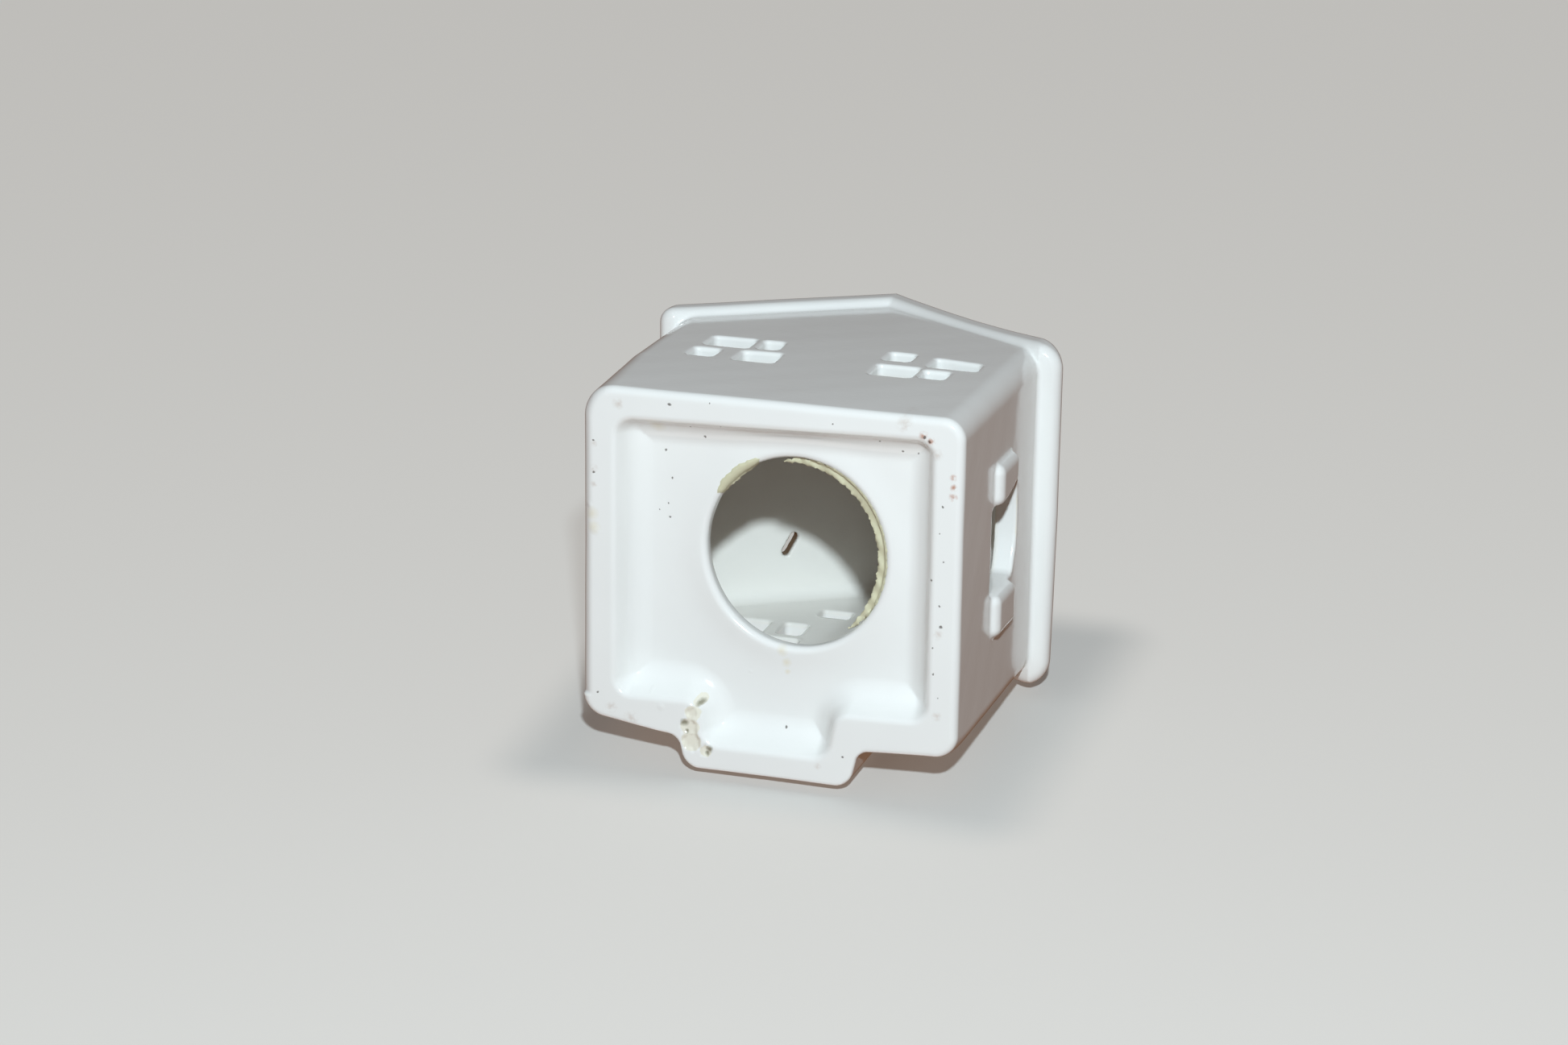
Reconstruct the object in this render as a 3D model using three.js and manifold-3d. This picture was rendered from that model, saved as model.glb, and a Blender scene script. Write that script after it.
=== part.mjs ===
// A slip-cast, glazed ceramic house that stands over a small candle or lamp: a gabled body on a hollow foot, with
// a porch in front, pierced windows, raised shutters, a round light hole in its floor and a vent slit in its roof.
// Millimetres, +Z up, porch towards -Y. The house stands on z = 0.

import * as THREE from 'three';
import { mergeVertices } from 'three/addons/utils/BufferGeometryUtils.js';
import Module from 'manifold-3d';

const wasm = await Module();
wasm.setup();

// Body
const bodyWidth = 85;
const bodyDepth = 75.4;
const wallThickness = 3.5;
const frontWallThickness = 5.5;
const cornerRadius = 5;
const innerCornerRadius = 3;
const eaveHeight = 61;
const roofPitch = THREE.MathUtils.degToRad(33.2);

// Roof
const roofThickness = 7.5;
const roofShellThickness = 4;
const eaveOverhang = 5.1;
const rearVergeOverhang = 1.9;
const frontVergeOverhang = 3;
const roofCornerRadius = 6.5;
const roofEdgeRound = 2.8;

// Vent slit in the right slope, which runs at an angle across it
const ventLength = 6.2;
const ventWidth = 2;
const ventAcross = 20;
const ventForward = 19;
const ventTurn = THREE.MathUtils.degToRad(124.5);

// Porch
const porchWidth = 39;
const porchProjection = 8.3;
const porchWall = 3.5;
const porchCornerRadius = 3.5;
const porchEaveHeight = 27;
const porchRoofRise = 11;
const neckRadius = 2;

// Door pressed into the porch's front
const doorWidth = 14;
const doorHeight = 17;
const doorSill = 1.5;
const doorDepth = 1;

// Foot
const footHeight = 6.5;
const footEdgeRound = 1.8;
const rimEdgeRound = 1;
const sideRim = 8.2;
const rearRim = 6.8;
const frontRim = 8.8;
const porchSideRim = 5.6;
const porchFrontRim = 6.3;
const coveWidth = 3.6;
const recessCornerRadius = 5;
const recessNeckRadius = 3;

// Floor with its light hole
const floorThickness = 3.5;
const lightHoleDiameter = 41.5;
const lightHoleAcross = -5;
const lightHoleBack = 3.6;
const lipWidth = 2.6;
const lipRise = 0.8;

// Rear and front windows: pairs of four hand-cut panes
const windowSpacing = 42.2;
const windowShift = -1.9;
const rearSillHeight = 30;
const frontSillHeight = 43;
const paneCornerRadius = 1;

// Attic window in the front gable: two small panes
const atticPaneWidth = 7;
const atticPaneHeight = 4.7;
const atticPaneGap = 3;
const atticSillHeight = 70;
const atticShift = 1.3;

// Side windows with a shutter on each side. The rear jamb was cut at a lean, through the edge of the shutter.
const sideWindowWidth = 19;
const sideWindowLean = 5;
const sideWindowSill = 24;
const sideWindowSpring = 43;
const sideWindowRise = 4;
const sideWindowBack = 1.5;
const shutterWidth = 10.2;
const shutterHeight = 15;
const shutterSill = 25.7;
const shutterThickness = 2;
const shutterEdgeRound = 0.5;
const shutterCornerRadius = 1.2;

// Dried adhesive round the light hole
const adhesiveThickness = 0.5;
const adhesiveArcWidth = 1.6;
const adhesiveArcHeight = 1.4;
const adhesiveFlakeWidth = 2.6;
const adhesiveFlakeIn = 0.6;
const adhesiveEndShare = 0.35;
const adhesiveArcFrom = THREE.MathUtils.degToRad(79);
const adhesiveArcTo = THREE.MathUtils.degToRad(232);
const adhesiveFlakeFrom = THREE.MathUtils.degToRad(31);
const adhesiveFlakeTo = THREE.MathUtils.degToRad(68);

// Running gap between pieces that seat on a sloped or curved face
const seatGap = 0.3;

// Small round where the porch meets the front wall
const wallSeatRadius = 0.05;

// Steps in a round corner, an edge round and a full circle
const cornerSteps = 6;
const edgeSteps = 4;
const circleSteps = 64;

// Half of the straight run that a rounded rectangle keeps between two corners
const leastStraight = 0.01;

// How far a cutting body runs past the faces that it cuts
const cutMargin = 2;

// The panes of one window, seen from outside with the house's middle on the left: how far each starts from the
// window's centre, how far above the sill, and its width and height.
const panes = [
  { from: -10.4, above: 0.2, width: 9.5, height: 9.3 },
  { from: 2.4, above: 1.2, width: 5.7, height: 8 },
  { from: -9.4, above: 12.2, width: 5.5, height: 7.8 },
  { from: -0.4, above: 10.6, width: 10.5, height: 9.2 },
];

const halfWidth = bodyWidth / 2;
const halfDepth = bodyDepth / 2;
const slope = Math.tan(roofPitch);
const porchFront = -halfDepth - porchProjection;
const floorTop = footHeight + floorThickness;
const gableHeight = eaveHeight + halfWidth * slope;
const roofRise = roofThickness / Math.cos(roofPitch);
const roofTop = gableHeight + roofRise;
const roofRear = halfDepth + rearVergeOverhang;
const roofFront = halfDepth + frontVergeOverhang;
const porchInnerHalf = porchWidth / 2 - porchWall;
const porchCeiling = porchEaveHeight - porchWall;

const glaze = { roughness: 0.12, metalness: 0 };
const wax = { roughness: 0.35, metalness: 0 };
const colours = {
  body: 0xf1f2ee,
  roof: 0xf3f5f3,
  foot: 0xebebe4,
  adhesive: 0xb9b78a,
};

// A closed outline with a round of its own radius at each corner, always with the same number of points.
function roundedOutline(corners, steps = cornerSteps) {
  const points = [];
  corners.forEach(([x, y, radius], i) => {
    const here = new THREE.Vector2(x, y);
    const toBefore = new THREE.Vector2(...corners.at(i - 1)).sub(here).normalize();
    const toAfter = new THREE.Vector2(...corners[(i + 1) % corners.length]).sub(here).normalize();
    const half = toBefore.angleTo(toAfter) / 2;
    const middle = toBefore.clone().add(toAfter).normalize();
    const centre = here.clone().addScaledVector(middle, radius / Math.sin(half));
    const start = here.clone().addScaledVector(toBefore, radius / Math.tan(half)).sub(centre);
    const end = here.clone().addScaledVector(toAfter, radius / Math.tan(half)).sub(centre);
    const sweep = Math.atan2(start.cross(end), start.dot(end));
    for (let k = 0; k <= steps; k += 1) {
      points.push(start.clone().rotateAround(new THREE.Vector2(), (sweep * k) / steps).add(centre));
    }
  });
  return points;
}

function roundedRectangle(left, bottom, width, height, radius) {
  const round = Math.min(radius, width / 2 - leastStraight, height / 2 - leastStraight);
  return roundedOutline([
    [left, bottom, round],
    [left + width, bottom, round],
    [left + width, bottom + height, round],
    [left, bottom + height, round],
  ]);
}

// The plan of the house: a rectangle with the porch standing out of its front side.
function housePlan({ side, rear, front, porchSide, porchEnd, corner, porchCorner, neck }) {
  return roundedOutline([
    [-porchSide, porchEnd, porchCorner],
    [porchSide, porchEnd, porchCorner],
    [porchSide, front, neck],
    [side, front, corner],
    [side, rear, corner],
    [-side, rear, corner],
    [-side, front, corner],
    [-porchSide, front, neck],
  ]);
}

// The outside of the house, drawn in by an inset.
function outerPlan(inset) {
  return housePlan({
    side: halfWidth - inset,
    rear: halfDepth - inset,
    front: -halfDepth + inset,
    porchSide: porchWidth / 2 - inset,
    porchEnd: porchFront + inset,
    corner: cornerRadius - inset,
    porchCorner: porchCornerRadius - inset,
    neck: neckRadius + inset,
  });
}

// The edge of the recess under the foot, drawn in by an inset.
function recessPlan(inset) {
  return housePlan({
    side: halfWidth - sideRim - inset,
    rear: halfDepth - rearRim - inset,
    front: -halfDepth + frontRim + inset,
    porchSide: porchWidth / 2 - porchSideRim - inset,
    porchEnd: porchFront + porchFrontRim + inset,
    corner: recessCornerRadius - inset,
    porchCorner: recessNeckRadius,
    neck: recessNeckRadius + inset,
  });
}

// Turns triangles of points into a closed solid.
function solidFromTriangles(triangles) {
  return toManifold(new THREE.BufferGeometry().setFromPoints(triangles.flat()));
}

function quad(a, b, c, d) {
  return [
    [a, b, c],
    [a, c, d],
  ];
}

// A ring whose section runs through a closed series of loops.
function ringThrough(loops) {
  const triangles = [];
  loops.forEach((loop, i) => {
    const next = loops[(i + 1) % loops.length];
    loop.forEach((point, j) => {
      const k = (j + 1) % loop.length;
      triangles.push(...quad(point, loop[k], next[k], next[j]));
    });
  });
  return solidFromTriangles(triangles);
}

// A solid through a stack of loops, closed by a flat face at each end. The end loops bulge everywhere.
function stackThrough(loops) {
  const triangles = [];
  for (let i = 0; i + 1 < loops.length; i += 1) {
    loops[i].forEach((point, j) => {
      const k = (j + 1) % loops[i].length;
      triangles.push(...quad(point, loops[i][k], loops[i + 1][k], loops[i + 1][j]));
    });
  }
  for (const [end, turned] of [[loops[0], true], [loops.at(-1), false]]) {
    for (let j = 1; j + 1 < end.length; j += 1) {
      triangles.push(turned ? [end[0], end[j + 1], end[j]] : [end[0], end[j], end[j + 1]]);
    }
  }
  return solidFromTriangles(triangles);
}

function loopAt(plan, z) {
  return plan.map((point) => new THREE.Vector3(point.x, point.y, z));
}

// Six times the volume inside a mesh: it is negative where the faces point in.
function signedVolume(positions, indices) {
  const corner = (i) => new THREE.Vector3().fromArray(positions, 3 * indices[i]);
  let volume = 0;
  for (let i = 0; i < indices.length; i += 3) volume += corner(i).dot(corner(i + 1).cross(corner(i + 2)));
  return volume;
}

function toManifold(geometry) {
  const bare = geometry.clone();
  bare.deleteAttribute('normal');
  bare.deleteAttribute('uv');
  const merged = mergeVertices(bare);
  const vertProperties = new Float32Array(merged.attributes.position.array);
  const triVerts = new Uint32Array(merged.index.array);
  if (signedVolume(vertProperties, triVerts) < 0) triVerts.reverse();
  return new wasm.Manifold(new wasm.Mesh({ numProp: 3, vertProperties, triVerts }));
}

function toGeometry(manifold) {
  const mesh = manifold.getMesh();
  const geometry = new THREE.BufferGeometry();
  geometry.setAttribute('position', new THREE.BufferAttribute(mesh.vertProperties, 3));
  geometry.setIndex(new THREE.BufferAttribute(mesh.triVerts, 1));
  return geometry;
}

// An upright prism on a plan.
function upright(plan, from, to) {
  const geometry = new THREE.ExtrudeGeometry(new THREE.Shape(plan), { depth: to - from, bevelEnabled: false });
  return toManifold(geometry.translate(0, 0, from));
}

// A prism along Y on an outline drawn in X and Z.
function alongY(outline, from, to) {
  const geometry = new THREE.ExtrudeGeometry(new THREE.Shape(outline), { depth: to - from, bevelEnabled: false });
  return toManifold(geometry.rotateX(Math.PI / 2).translate(0, to, 0));
}

// A prism along X on an outline drawn in Y and Z.
function alongX(outline, from, to) {
  const geometry = new THREE.ExtrudeGeometry(new THREE.Shape(outline), { depth: to - from, bevelEnabled: false });
  return toManifold(geometry.rotateX(Math.PI / 2).rotateZ(Math.PI / 2).translate(from, 0, 0));
}

function block(x0, x1, y0, y1, z0, z1) {
  const geometry = new THREE.BoxGeometry(x1 - x0, y1 - y0, z1 - z0);
  return toManifold(geometry.translate((x0 + x1) / 2, (y0 + y1) / 2, (z0 + z1) / 2));
}

// Underside and top of the roof at a distance from the ridge. Outside the walls the underside runs level.
function soffitAt(x) {
  return eaveHeight + Math.max(0, halfWidth - Math.abs(x)) * slope;
}

function roofTopAt(x) {
  return roofTop - Math.abs(x) * slope;
}

// Everything above the sloped underside, lowered by the gap to its seat.
function aboveSoffit() {
  const reach = halfWidth + cutMargin;
  const low = eaveHeight - cutMargin * slope - seatGap;
  const outline = [
    new THREE.Vector2(-reach, low),
    new THREE.Vector2(0, gableHeight - seatGap),
    new THREE.Vector2(reach, low),
    new THREE.Vector2(reach, roofTop),
    new THREE.Vector2(-reach, roofTop),
  ];
  return alongY(outline, -halfDepth - cutMargin, halfDepth + cutMargin);
}

function innerPlan() {
  const side = halfWidth - wallThickness;
  const front = frontWallThickness - halfDepth;
  return roundedRectangle(-side, front, 2 * side, halfDepth - wallThickness - front, innerCornerRadius);
}

// The four walls in one, before they are cut apart and pierced.
function wallShell() {
  const plan = roundedRectangle(-halfWidth, -halfDepth, bodyWidth, bodyDepth, cornerRadius);
  const outside = upright(plan, footHeight, gableHeight);
  const inside = upright(innerPlan(), footHeight - cutMargin, gableHeight + cutMargin);
  return outside.subtract(inside).subtract(aboveSoffit());
}

// Cutting bodies for a pair of four-pane windows through the gable wall on one side.
function windowCuts(sill, side, thickness) {
  const cuts = [];
  for (const hand of [-1, 1]) {
    for (const pane of panes) {
      const centre = windowShift + (hand * windowSpacing) / 2;
      const near = centre + hand * pane.from;
      const left = Math.min(near, near + hand * pane.width);
      const outline = roundedRectangle(left, sill + pane.above, pane.width, pane.height, paneCornerRadius);
      const middle = side * (halfDepth - thickness / 2);
      const reach = thickness / 2 + cutMargin;
      cuts.push(alongY(outline, middle - reach, middle + reach));
    }
  }
  return cuts;
}

function atticCuts() {
  return [-1, 1].map((hand) => {
    const left = atticShift + (hand * (atticPaneGap + atticPaneWidth)) / 2 - atticPaneWidth / 2;
    const outline = roundedRectangle(left, atticSillHeight, atticPaneWidth, atticPaneHeight, paneCornerRadius);
    return alongY(outline, -halfDepth - cutMargin, -halfDepth + frontWallThickness + cutMargin);
  });
}

// The hollow of the porch, which opens into the house over the floor.
function porchHollow() {
  const plan = roundedOutline([
    [-porchInnerHalf, porchFront + porchWall, porchCornerRadius],
    [porchInnerHalf, porchFront + porchWall, porchCornerRadius],
    [porchInnerHalf, -halfDepth + frontWallThickness + cutMargin, porchCornerRadius / 2],
    [-porchInnerHalf, -halfDepth + frontWallThickness + cutMargin, porchCornerRadius / 2],
  ]);
  return upright(plan, footHeight - cutMargin, porchCeiling);
}

function makeGableWalls(shell) {
  const rearSeam = halfDepth - Math.max(cornerRadius, wallThickness + innerCornerRadius);
  const frontSeam = Math.max(cornerRadius, frontWallThickness + innerCornerRadius) - halfDepth;
  const reach = halfWidth + cutMargin;
  const rear = shell.intersect(block(-reach, reach, rearSeam, halfDepth + cutMargin, 0, roofTop));
  const front = shell.intersect(block(-reach, reach, -halfDepth - cutMargin, frontSeam, 0, roofTop));
  let rearWall = rear;
  for (const cut of windowCuts(rearSillHeight, 1, wallThickness)) rearWall = rearWall.subtract(cut);
  let frontWall = front.subtract(porchHollow());
  for (const cut of windowCuts(frontSillHeight, -1, frontWallThickness)) frontWall = frontWall.subtract(cut);
  for (const cut of atticCuts()) frontWall = frontWall.subtract(cut);
  return { rearWall, frontWall, rearSeam, frontSeam };
}

// An opening with a low arch over it, drawn in Y and Z. Its width is at the sill: it widens at the rear.
function sideWindowOutline() {
  const front = sideWindowBack - sideWindowWidth / 2;
  const half = (sideWindowWidth + sideWindowLean) / 2;
  const radius = (half * half + sideWindowRise * sideWindowRise) / (2 * sideWindowRise);
  const reach = Math.asin(half / radius);
  const centreHeight = sideWindowSpring + sideWindowRise - radius;
  const points = [
    new THREE.Vector2(front, sideWindowSill),
    new THREE.Vector2(front + sideWindowWidth, sideWindowSill),
  ];
  for (let k = 0; k <= 2 * cornerSteps; k += 1) {
    const angle = reach * (1 - k / cornerSteps);
    const y = front + half + radius * Math.sin(angle);
    points.push(new THREE.Vector2(y, centreHeight + radius * Math.cos(angle)));
  }
  return points;
}

// Cuts the opening out of a wall or a shutter at the side.
function sideWindowCut(hand) {
  const middle = hand * (halfWidth - wallThickness / 2);
  const reach = wallThickness / 2 + shutterThickness + cutMargin;
  return alongX(sideWindowOutline(), middle - reach, middle + reach);
}

function makeSideWall(shell, hand) {
  const inner = hand > 0 ? 0 : -halfWidth - cutMargin;
  const wall = shell.intersect(block(inner, inner + halfWidth + cutMargin, frontSeam, rearSeam, 0, roofTop));
  return wall.subtract(sideWindowCut(hand));
}

// The hollow foot: a ring on the house's plan with a rounded outer edge, a flat rim to stand on, and a cove that
// sweeps from the rim up to the floor.
function makeFoot() {
  const loops = [];
  for (let k = 0; k <= edgeSteps; k += 1) {
    const angle = (k / edgeSteps) * (Math.PI / 2);
    const inset = footEdgeRound * (1 - Math.sin(angle));
    loops.push(loopAt(outerPlan(inset), footEdgeRound * (1 - Math.cos(angle))));
  }
  loops.push(loopAt(outerPlan(0), footHeight));
  for (let k = edgeSteps; k >= 0; k -= 1) {
    const angle = (k / edgeSteps) * (Math.PI / 2);
    const inset = coveWidth * (1 - Math.cos(angle));
    loops.push(loopAt(recessPlan(inset), rimEdgeRound + (footHeight - rimEdgeRound) * Math.sin(angle)));
  }
  for (let k = edgeSteps - 1; k >= 0; k -= 1) {
    const angle = (k / edgeSteps) * (Math.PI / 2);
    const inset = -rimEdgeRound * (1 - Math.sin(angle));
    loops.push(loopAt(recessPlan(inset), rimEdgeRound * (1 - Math.cos(angle))));
  }
  return ringThrough(loops);
}

// The floor lies on the foot inside the walls and runs on into the porch. The light hole has a rolled lip.
function makeFloor() {
  const panelPlan = housePlan({
    side: halfWidth - wallThickness - seatGap,
    rear: halfDepth - wallThickness - seatGap,
    front: -halfDepth + frontWallThickness + seatGap,
    porchSide: porchInnerHalf - seatGap,
    porchEnd: porchFront + porchWall + seatGap,
    corner: innerCornerRadius,
    porchCorner: porchCornerRadius,
    neck: seatGap,
  });
  const holeRadius = lightHoleDiameter / 2;
  const round = (floorThickness + lipRise) / 2;
  const lipCentre = footHeight - lipRise + round;
  const profile = [
    new THREE.Vector2(holeRadius + lipWidth, floorTop),
    new THREE.Vector2(holeRadius + lipWidth, footHeight),
    new THREE.Vector2(holeRadius + (lipWidth + round) / 2, footHeight - lipRise / 2),
  ];
  for (let k = 0; k <= 2 * edgeSteps; k += 1) {
    const angle = -Math.PI / 2 - (k / (2 * edgeSteps)) * Math.PI;
    const across = holeRadius + round * (1 + Math.cos(angle));
    profile.push(new THREE.Vector2(across, lipCentre + round * Math.sin(angle)));
  }
  profile.push(profile[0].clone());
  const lip = new THREE.LatheGeometry(profile, circleSteps).rotateX(Math.PI / 2);
  const cutRadius = holeRadius + lipWidth / 2;
  const cut = new THREE.CylinderGeometry(cutRadius, cutRadius, 2 * (floorTop + cutMargin), circleSteps);
  const place = (geometry) => toManifold(geometry.translate(lightHoleAcross, lightHoleBack, 0));
  return upright(panelPlan, footHeight, floorTop).subtract(place(cut.rotateX(Math.PI / 2))).add(place(lip));
}

function prismAbove(reach, low, high, wall) {
  return [
    new THREE.Vector2(wall - reach, low),
    new THREE.Vector2(wall, high),
    new THREE.Vector2(wall - reach, high),
  ];
}

// The door is pressed into the porch's front under a round arch.
function doorCut() {
  const half = doorWidth / 2;
  const sill = footHeight + doorSill;
  const outline = [new THREE.Vector2(-half, sill), new THREE.Vector2(half, sill)];
  for (let k = 0; k <= 2 * cornerSteps; k += 1) {
    const angle = (k / (2 * cornerSteps)) * Math.PI;
    outline.push(new THREE.Vector2(half * Math.cos(angle), sill + doorHeight - half + half * Math.sin(angle)));
  }
  return alongY(outline, porchFront - cutMargin, porchFront + doorDepth);
}

// The porch: a low box on the front wall, open behind, with a hipped roof that leans back to the wall.
function makePorch() {
  const side = porchWidth / 2;
  const plan = roundedOutline([
    [-side, porchFront, porchCornerRadius],
    [side, porchFront, porchCornerRadius],
    [side, -halfDepth, wallSeatRadius],
    [-side, -halfDepth, wallSeatRadius],
  ]);
  const steepness = porchRoofRise / porchProjection;
  const reach = porchProjection + cutMargin;
  const high = porchEaveHeight + porchRoofRise;
  const low = high - reach * steepness;
  const frontHip = alongX(prismAbove(reach, low, high, -halfDepth), -side - cutMargin, side + cutMargin);
  const leftHip = prismAbove(reach, low, high, -side + porchProjection);
  const rightHip = leftHip.map((point) => new THREE.Vector2(-point.x, point.y)).reverse();
  return upright(plan, footHeight, high)
    .subtract(frontHip)
    .subtract(alongY(leftHip, porchFront - cutMargin, -halfDepth + cutMargin))
    .subtract(alongY(rightHip, porchFront - cutMargin, -halfDepth + cutMargin))
    .subtract(porchHollow())
    .subtract(doorCut());
}

// One half of a roof loop, from the ridge along the verge and round the corner to the eave.
function roofSide(inset, verge) {
  const radius = roofCornerRadius - inset;
  const end = verge - inset;
  const eave = halfWidth + eaveOverhang - inset;
  const points = [new THREE.Vector2(0, end)];
  for (let k = 0; k <= cornerSteps; k += 1) {
    const angle = (k / cornerSteps) * (Math.PI / 2);
    points.push(new THREE.Vector2(eave - radius * (1 - Math.sin(angle)), end - radius * (1 - Math.cos(angle))));
  }
  return points;
}

// A slope of the roof: a slab with round edges whose underside levels out past the walls, hollowed over the room.
function makeRoofSlope(hand) {
  const loops = [];
  for (let k = -edgeSteps; k <= edgeSteps; k += 1) {
    const angle = (k / edgeSteps) * (Math.PI / 2);
    const lift = (1 + Math.sin(angle)) / 2;
    const place = (x, y) => new THREE.Vector3(hand * x, y, THREE.MathUtils.lerp(soffitAt(x), roofTopAt(x), lift));
    const inset = roofEdgeRound * (1 - Math.cos(angle));
    loops.push({
      near: roofSide(inset, roofRear).map((point) => place(point.x, point.y)),
      far: roofSide(inset, roofFront).map((point) => place(point.x, -point.y)),
    });
  }
  const triangles = [];
  for (let k = 0; k + 1 < loops.length; k += 1) {
    const low = [...loops[k].near, ...loops[k].far.toReversed()];
    const high = [...loops[k + 1].near, ...loops[k + 1].far.toReversed()];
    for (let j = 0; j < low.length; j += 1) {
      const next = (j + 1) % low.length;
      triangles.push(...quad(low[j], high[j], high[next], low[next]));
    }
  }
  const top = loops.at(-1);
  const bottom = loops[0];
  for (let j = 0; j + 1 < top.near.length; j += 1) {
    triangles.push(...quad(top.near[j], top.far[j], top.far[j + 1], top.near[j + 1]));
    triangles.push(...quad(bottom.near[j], bottom.near[j + 1], bottom.far[j + 1], bottom.far[j]));
  }
  return solidFromTriangles(triangles).subtract(roofHollow());
}

// The space over the room inside the roof, below a shell of even thickness.
function roofHollow() {
  const shellRise = roofShellThickness / Math.cos(roofPitch);
  const reach = halfWidth;
  const outline = [
    new THREE.Vector2(-reach, eaveHeight - cutMargin),
    new THREE.Vector2(reach, eaveHeight - cutMargin),
    new THREE.Vector2(reach, roofTopAt(reach) - shellRise),
    new THREE.Vector2(0, roofTop - shellRise),
    new THREE.Vector2(-reach, roofTopAt(reach) - shellRise),
  ];
  return alongY(outline, -halfDepth, halfDepth).intersect(upright(innerPlan(), 0, roofTop));
}

// The vent slit runs straight up through the right slope.
function ventCut() {
  const half = ventLength / 2;
  const plan = roundedRectangle(-half, -ventWidth / 2, ventLength, ventWidth, ventWidth / 2);
  const centre = new THREE.Vector2(ventAcross, -ventForward);
  const turned = plan.map((point) => point.clone().rotateAround(new THREE.Vector2(), ventTurn).add(centre));
  return upright(turned, eaveHeight, roofTop);
}

// A raised shutter on a side wall, with soft edges on its outer face.
function makeShutter(hand, back) {
  const centre = sideWindowBack + (back * (sideWindowWidth + shutterWidth)) / 2;
  const face = (outward, inset) => {
    const width = shutterWidth - 2 * inset;
    const height = shutterHeight - 2 * inset;
    const radius = shutterCornerRadius - inset;
    const outline = roundedRectangle(centre - width / 2, shutterSill + inset, width, height, radius);
    return outline.map((point) => new THREE.Vector3(hand * (halfWidth + outward), point.x, point.y));
  };
  const loops = [face(0, 0)];
  for (let k = 0; k <= edgeSteps; k += 1) {
    const angle = (k / edgeSteps) * (Math.PI / 2);
    const outward = shutterThickness - shutterEdgeRound * (1 - Math.sin(angle));
    loops.push(face(outward, shutterEdgeRound * (1 - Math.cos(angle))));
  }
  return stackThrough(loops).subtract(sideWindowCut(hand));
}

// A strip of adhesive round part of the light hole, thinning out at both ends.
function makeAdhesive({ from, to, inner, width, low, height, steps }) {
  const loops = [];
  for (let k = 0; k <= steps; k += 1) {
    const share = k / steps;
    const angle = THREE.MathUtils.lerp(from, to, share);
    const swell = adhesiveEndShare + (1 - adhesiveEndShare) * Math.sin(Math.PI * share);
    const start = inner + (width * (1 - swell)) / 2;
    const end = start + width * swell;
    const place = (radius, z) =>
      new THREE.Vector3(lightHoleAcross + radius * Math.cos(angle), lightHoleBack + radius * Math.sin(angle), z);
    loops.push([place(start, low), place(end, low), place(end, low + height), place(start, low + height)]);
  }
  return stackThrough(loops);
}

const house = new THREE.Group();

function addPiece(name, manifold, color, finish = glaze) {
  const piece = new THREE.Mesh(toGeometry(manifold), new THREE.MeshStandardMaterial({ color, ...finish }));
  piece.name = name;
  house.add(piece);
}

const shell = wallShell();
const { rearWall, frontWall, rearSeam, frontSeam } = makeGableWalls(shell);
addPiece('foot_ring', makeFoot(), colours.foot);
addPiece('floor_panel', makeFloor(), colours.foot);
addPiece('rear_gable_wall', rearWall, colours.body);
addPiece('front_gable_wall', frontWall, colours.body);
addPiece('left_side_wall', makeSideWall(shell, -1), colours.body);
addPiece('right_side_wall', makeSideWall(shell, 1), colours.body);
addPiece('porch', makePorch(), colours.body);
addPiece('left_roof_slope', makeRoofSlope(-1), colours.roof);
addPiece('right_roof_slope', makeRoofSlope(1).subtract(ventCut()), colours.roof);
for (const [side, hand] of [['left', -1], ['right', 1]]) {
  for (const [end, back] of [['front', -1], ['rear', 1]]) {
    addPiece(`${side}_${end}_shutter`, makeShutter(hand, back), colours.body);
  }
}

const holeRadius = lightHoleDiameter / 2;
const lipBottom = footHeight - lipRise;
const lipMiddle = (floorTop + lipBottom) / 2;
addPiece(
  'adhesive_arc',
  makeAdhesive({
    from: adhesiveArcFrom,
    to: adhesiveArcTo,
    inner: holeRadius - seatGap - adhesiveArcWidth,
    width: adhesiveArcWidth,
    low: lipMiddle - adhesiveArcHeight / 2,
    height: adhesiveArcHeight,
    steps: circleSteps / 4,
  }),
  colours.adhesive,
  wax,
);
addPiece(
  'adhesive_flake',
  makeAdhesive({
    from: adhesiveFlakeFrom,
    to: adhesiveFlakeTo,
    inner: holeRadius + adhesiveFlakeIn,
    width: adhesiveFlakeWidth,
    low: lipBottom - seatGap - adhesiveThickness,
    height: adhesiveThickness,
    steps: circleSteps / 8,
  }),
  colours.adhesive,
  wax,
);

// The origin is under the middle of the whole house, porch and roof included.
house.position.y = -(roofRear + porchFront) / 2;

export default house;
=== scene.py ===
"""A slip-cast, glazed ceramic house that stands over a small candle or lamp, dressed over its fixed frame.

The house is one hollow casting under one coat of glaze. Its form is written once, as the distance in
millimetres from any point to the glazed surface. Each piece is what a few plane cuts leave of that form, so
the glaze runs on over every seam. The file is laid out as a Blender add-on and is run as a script.
"""

import math

import bpy
import numpy as np
from bpy.props import FloatProperty, FloatVectorProperty, PointerProperty
from mathutils import Matrix, Vector


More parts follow.
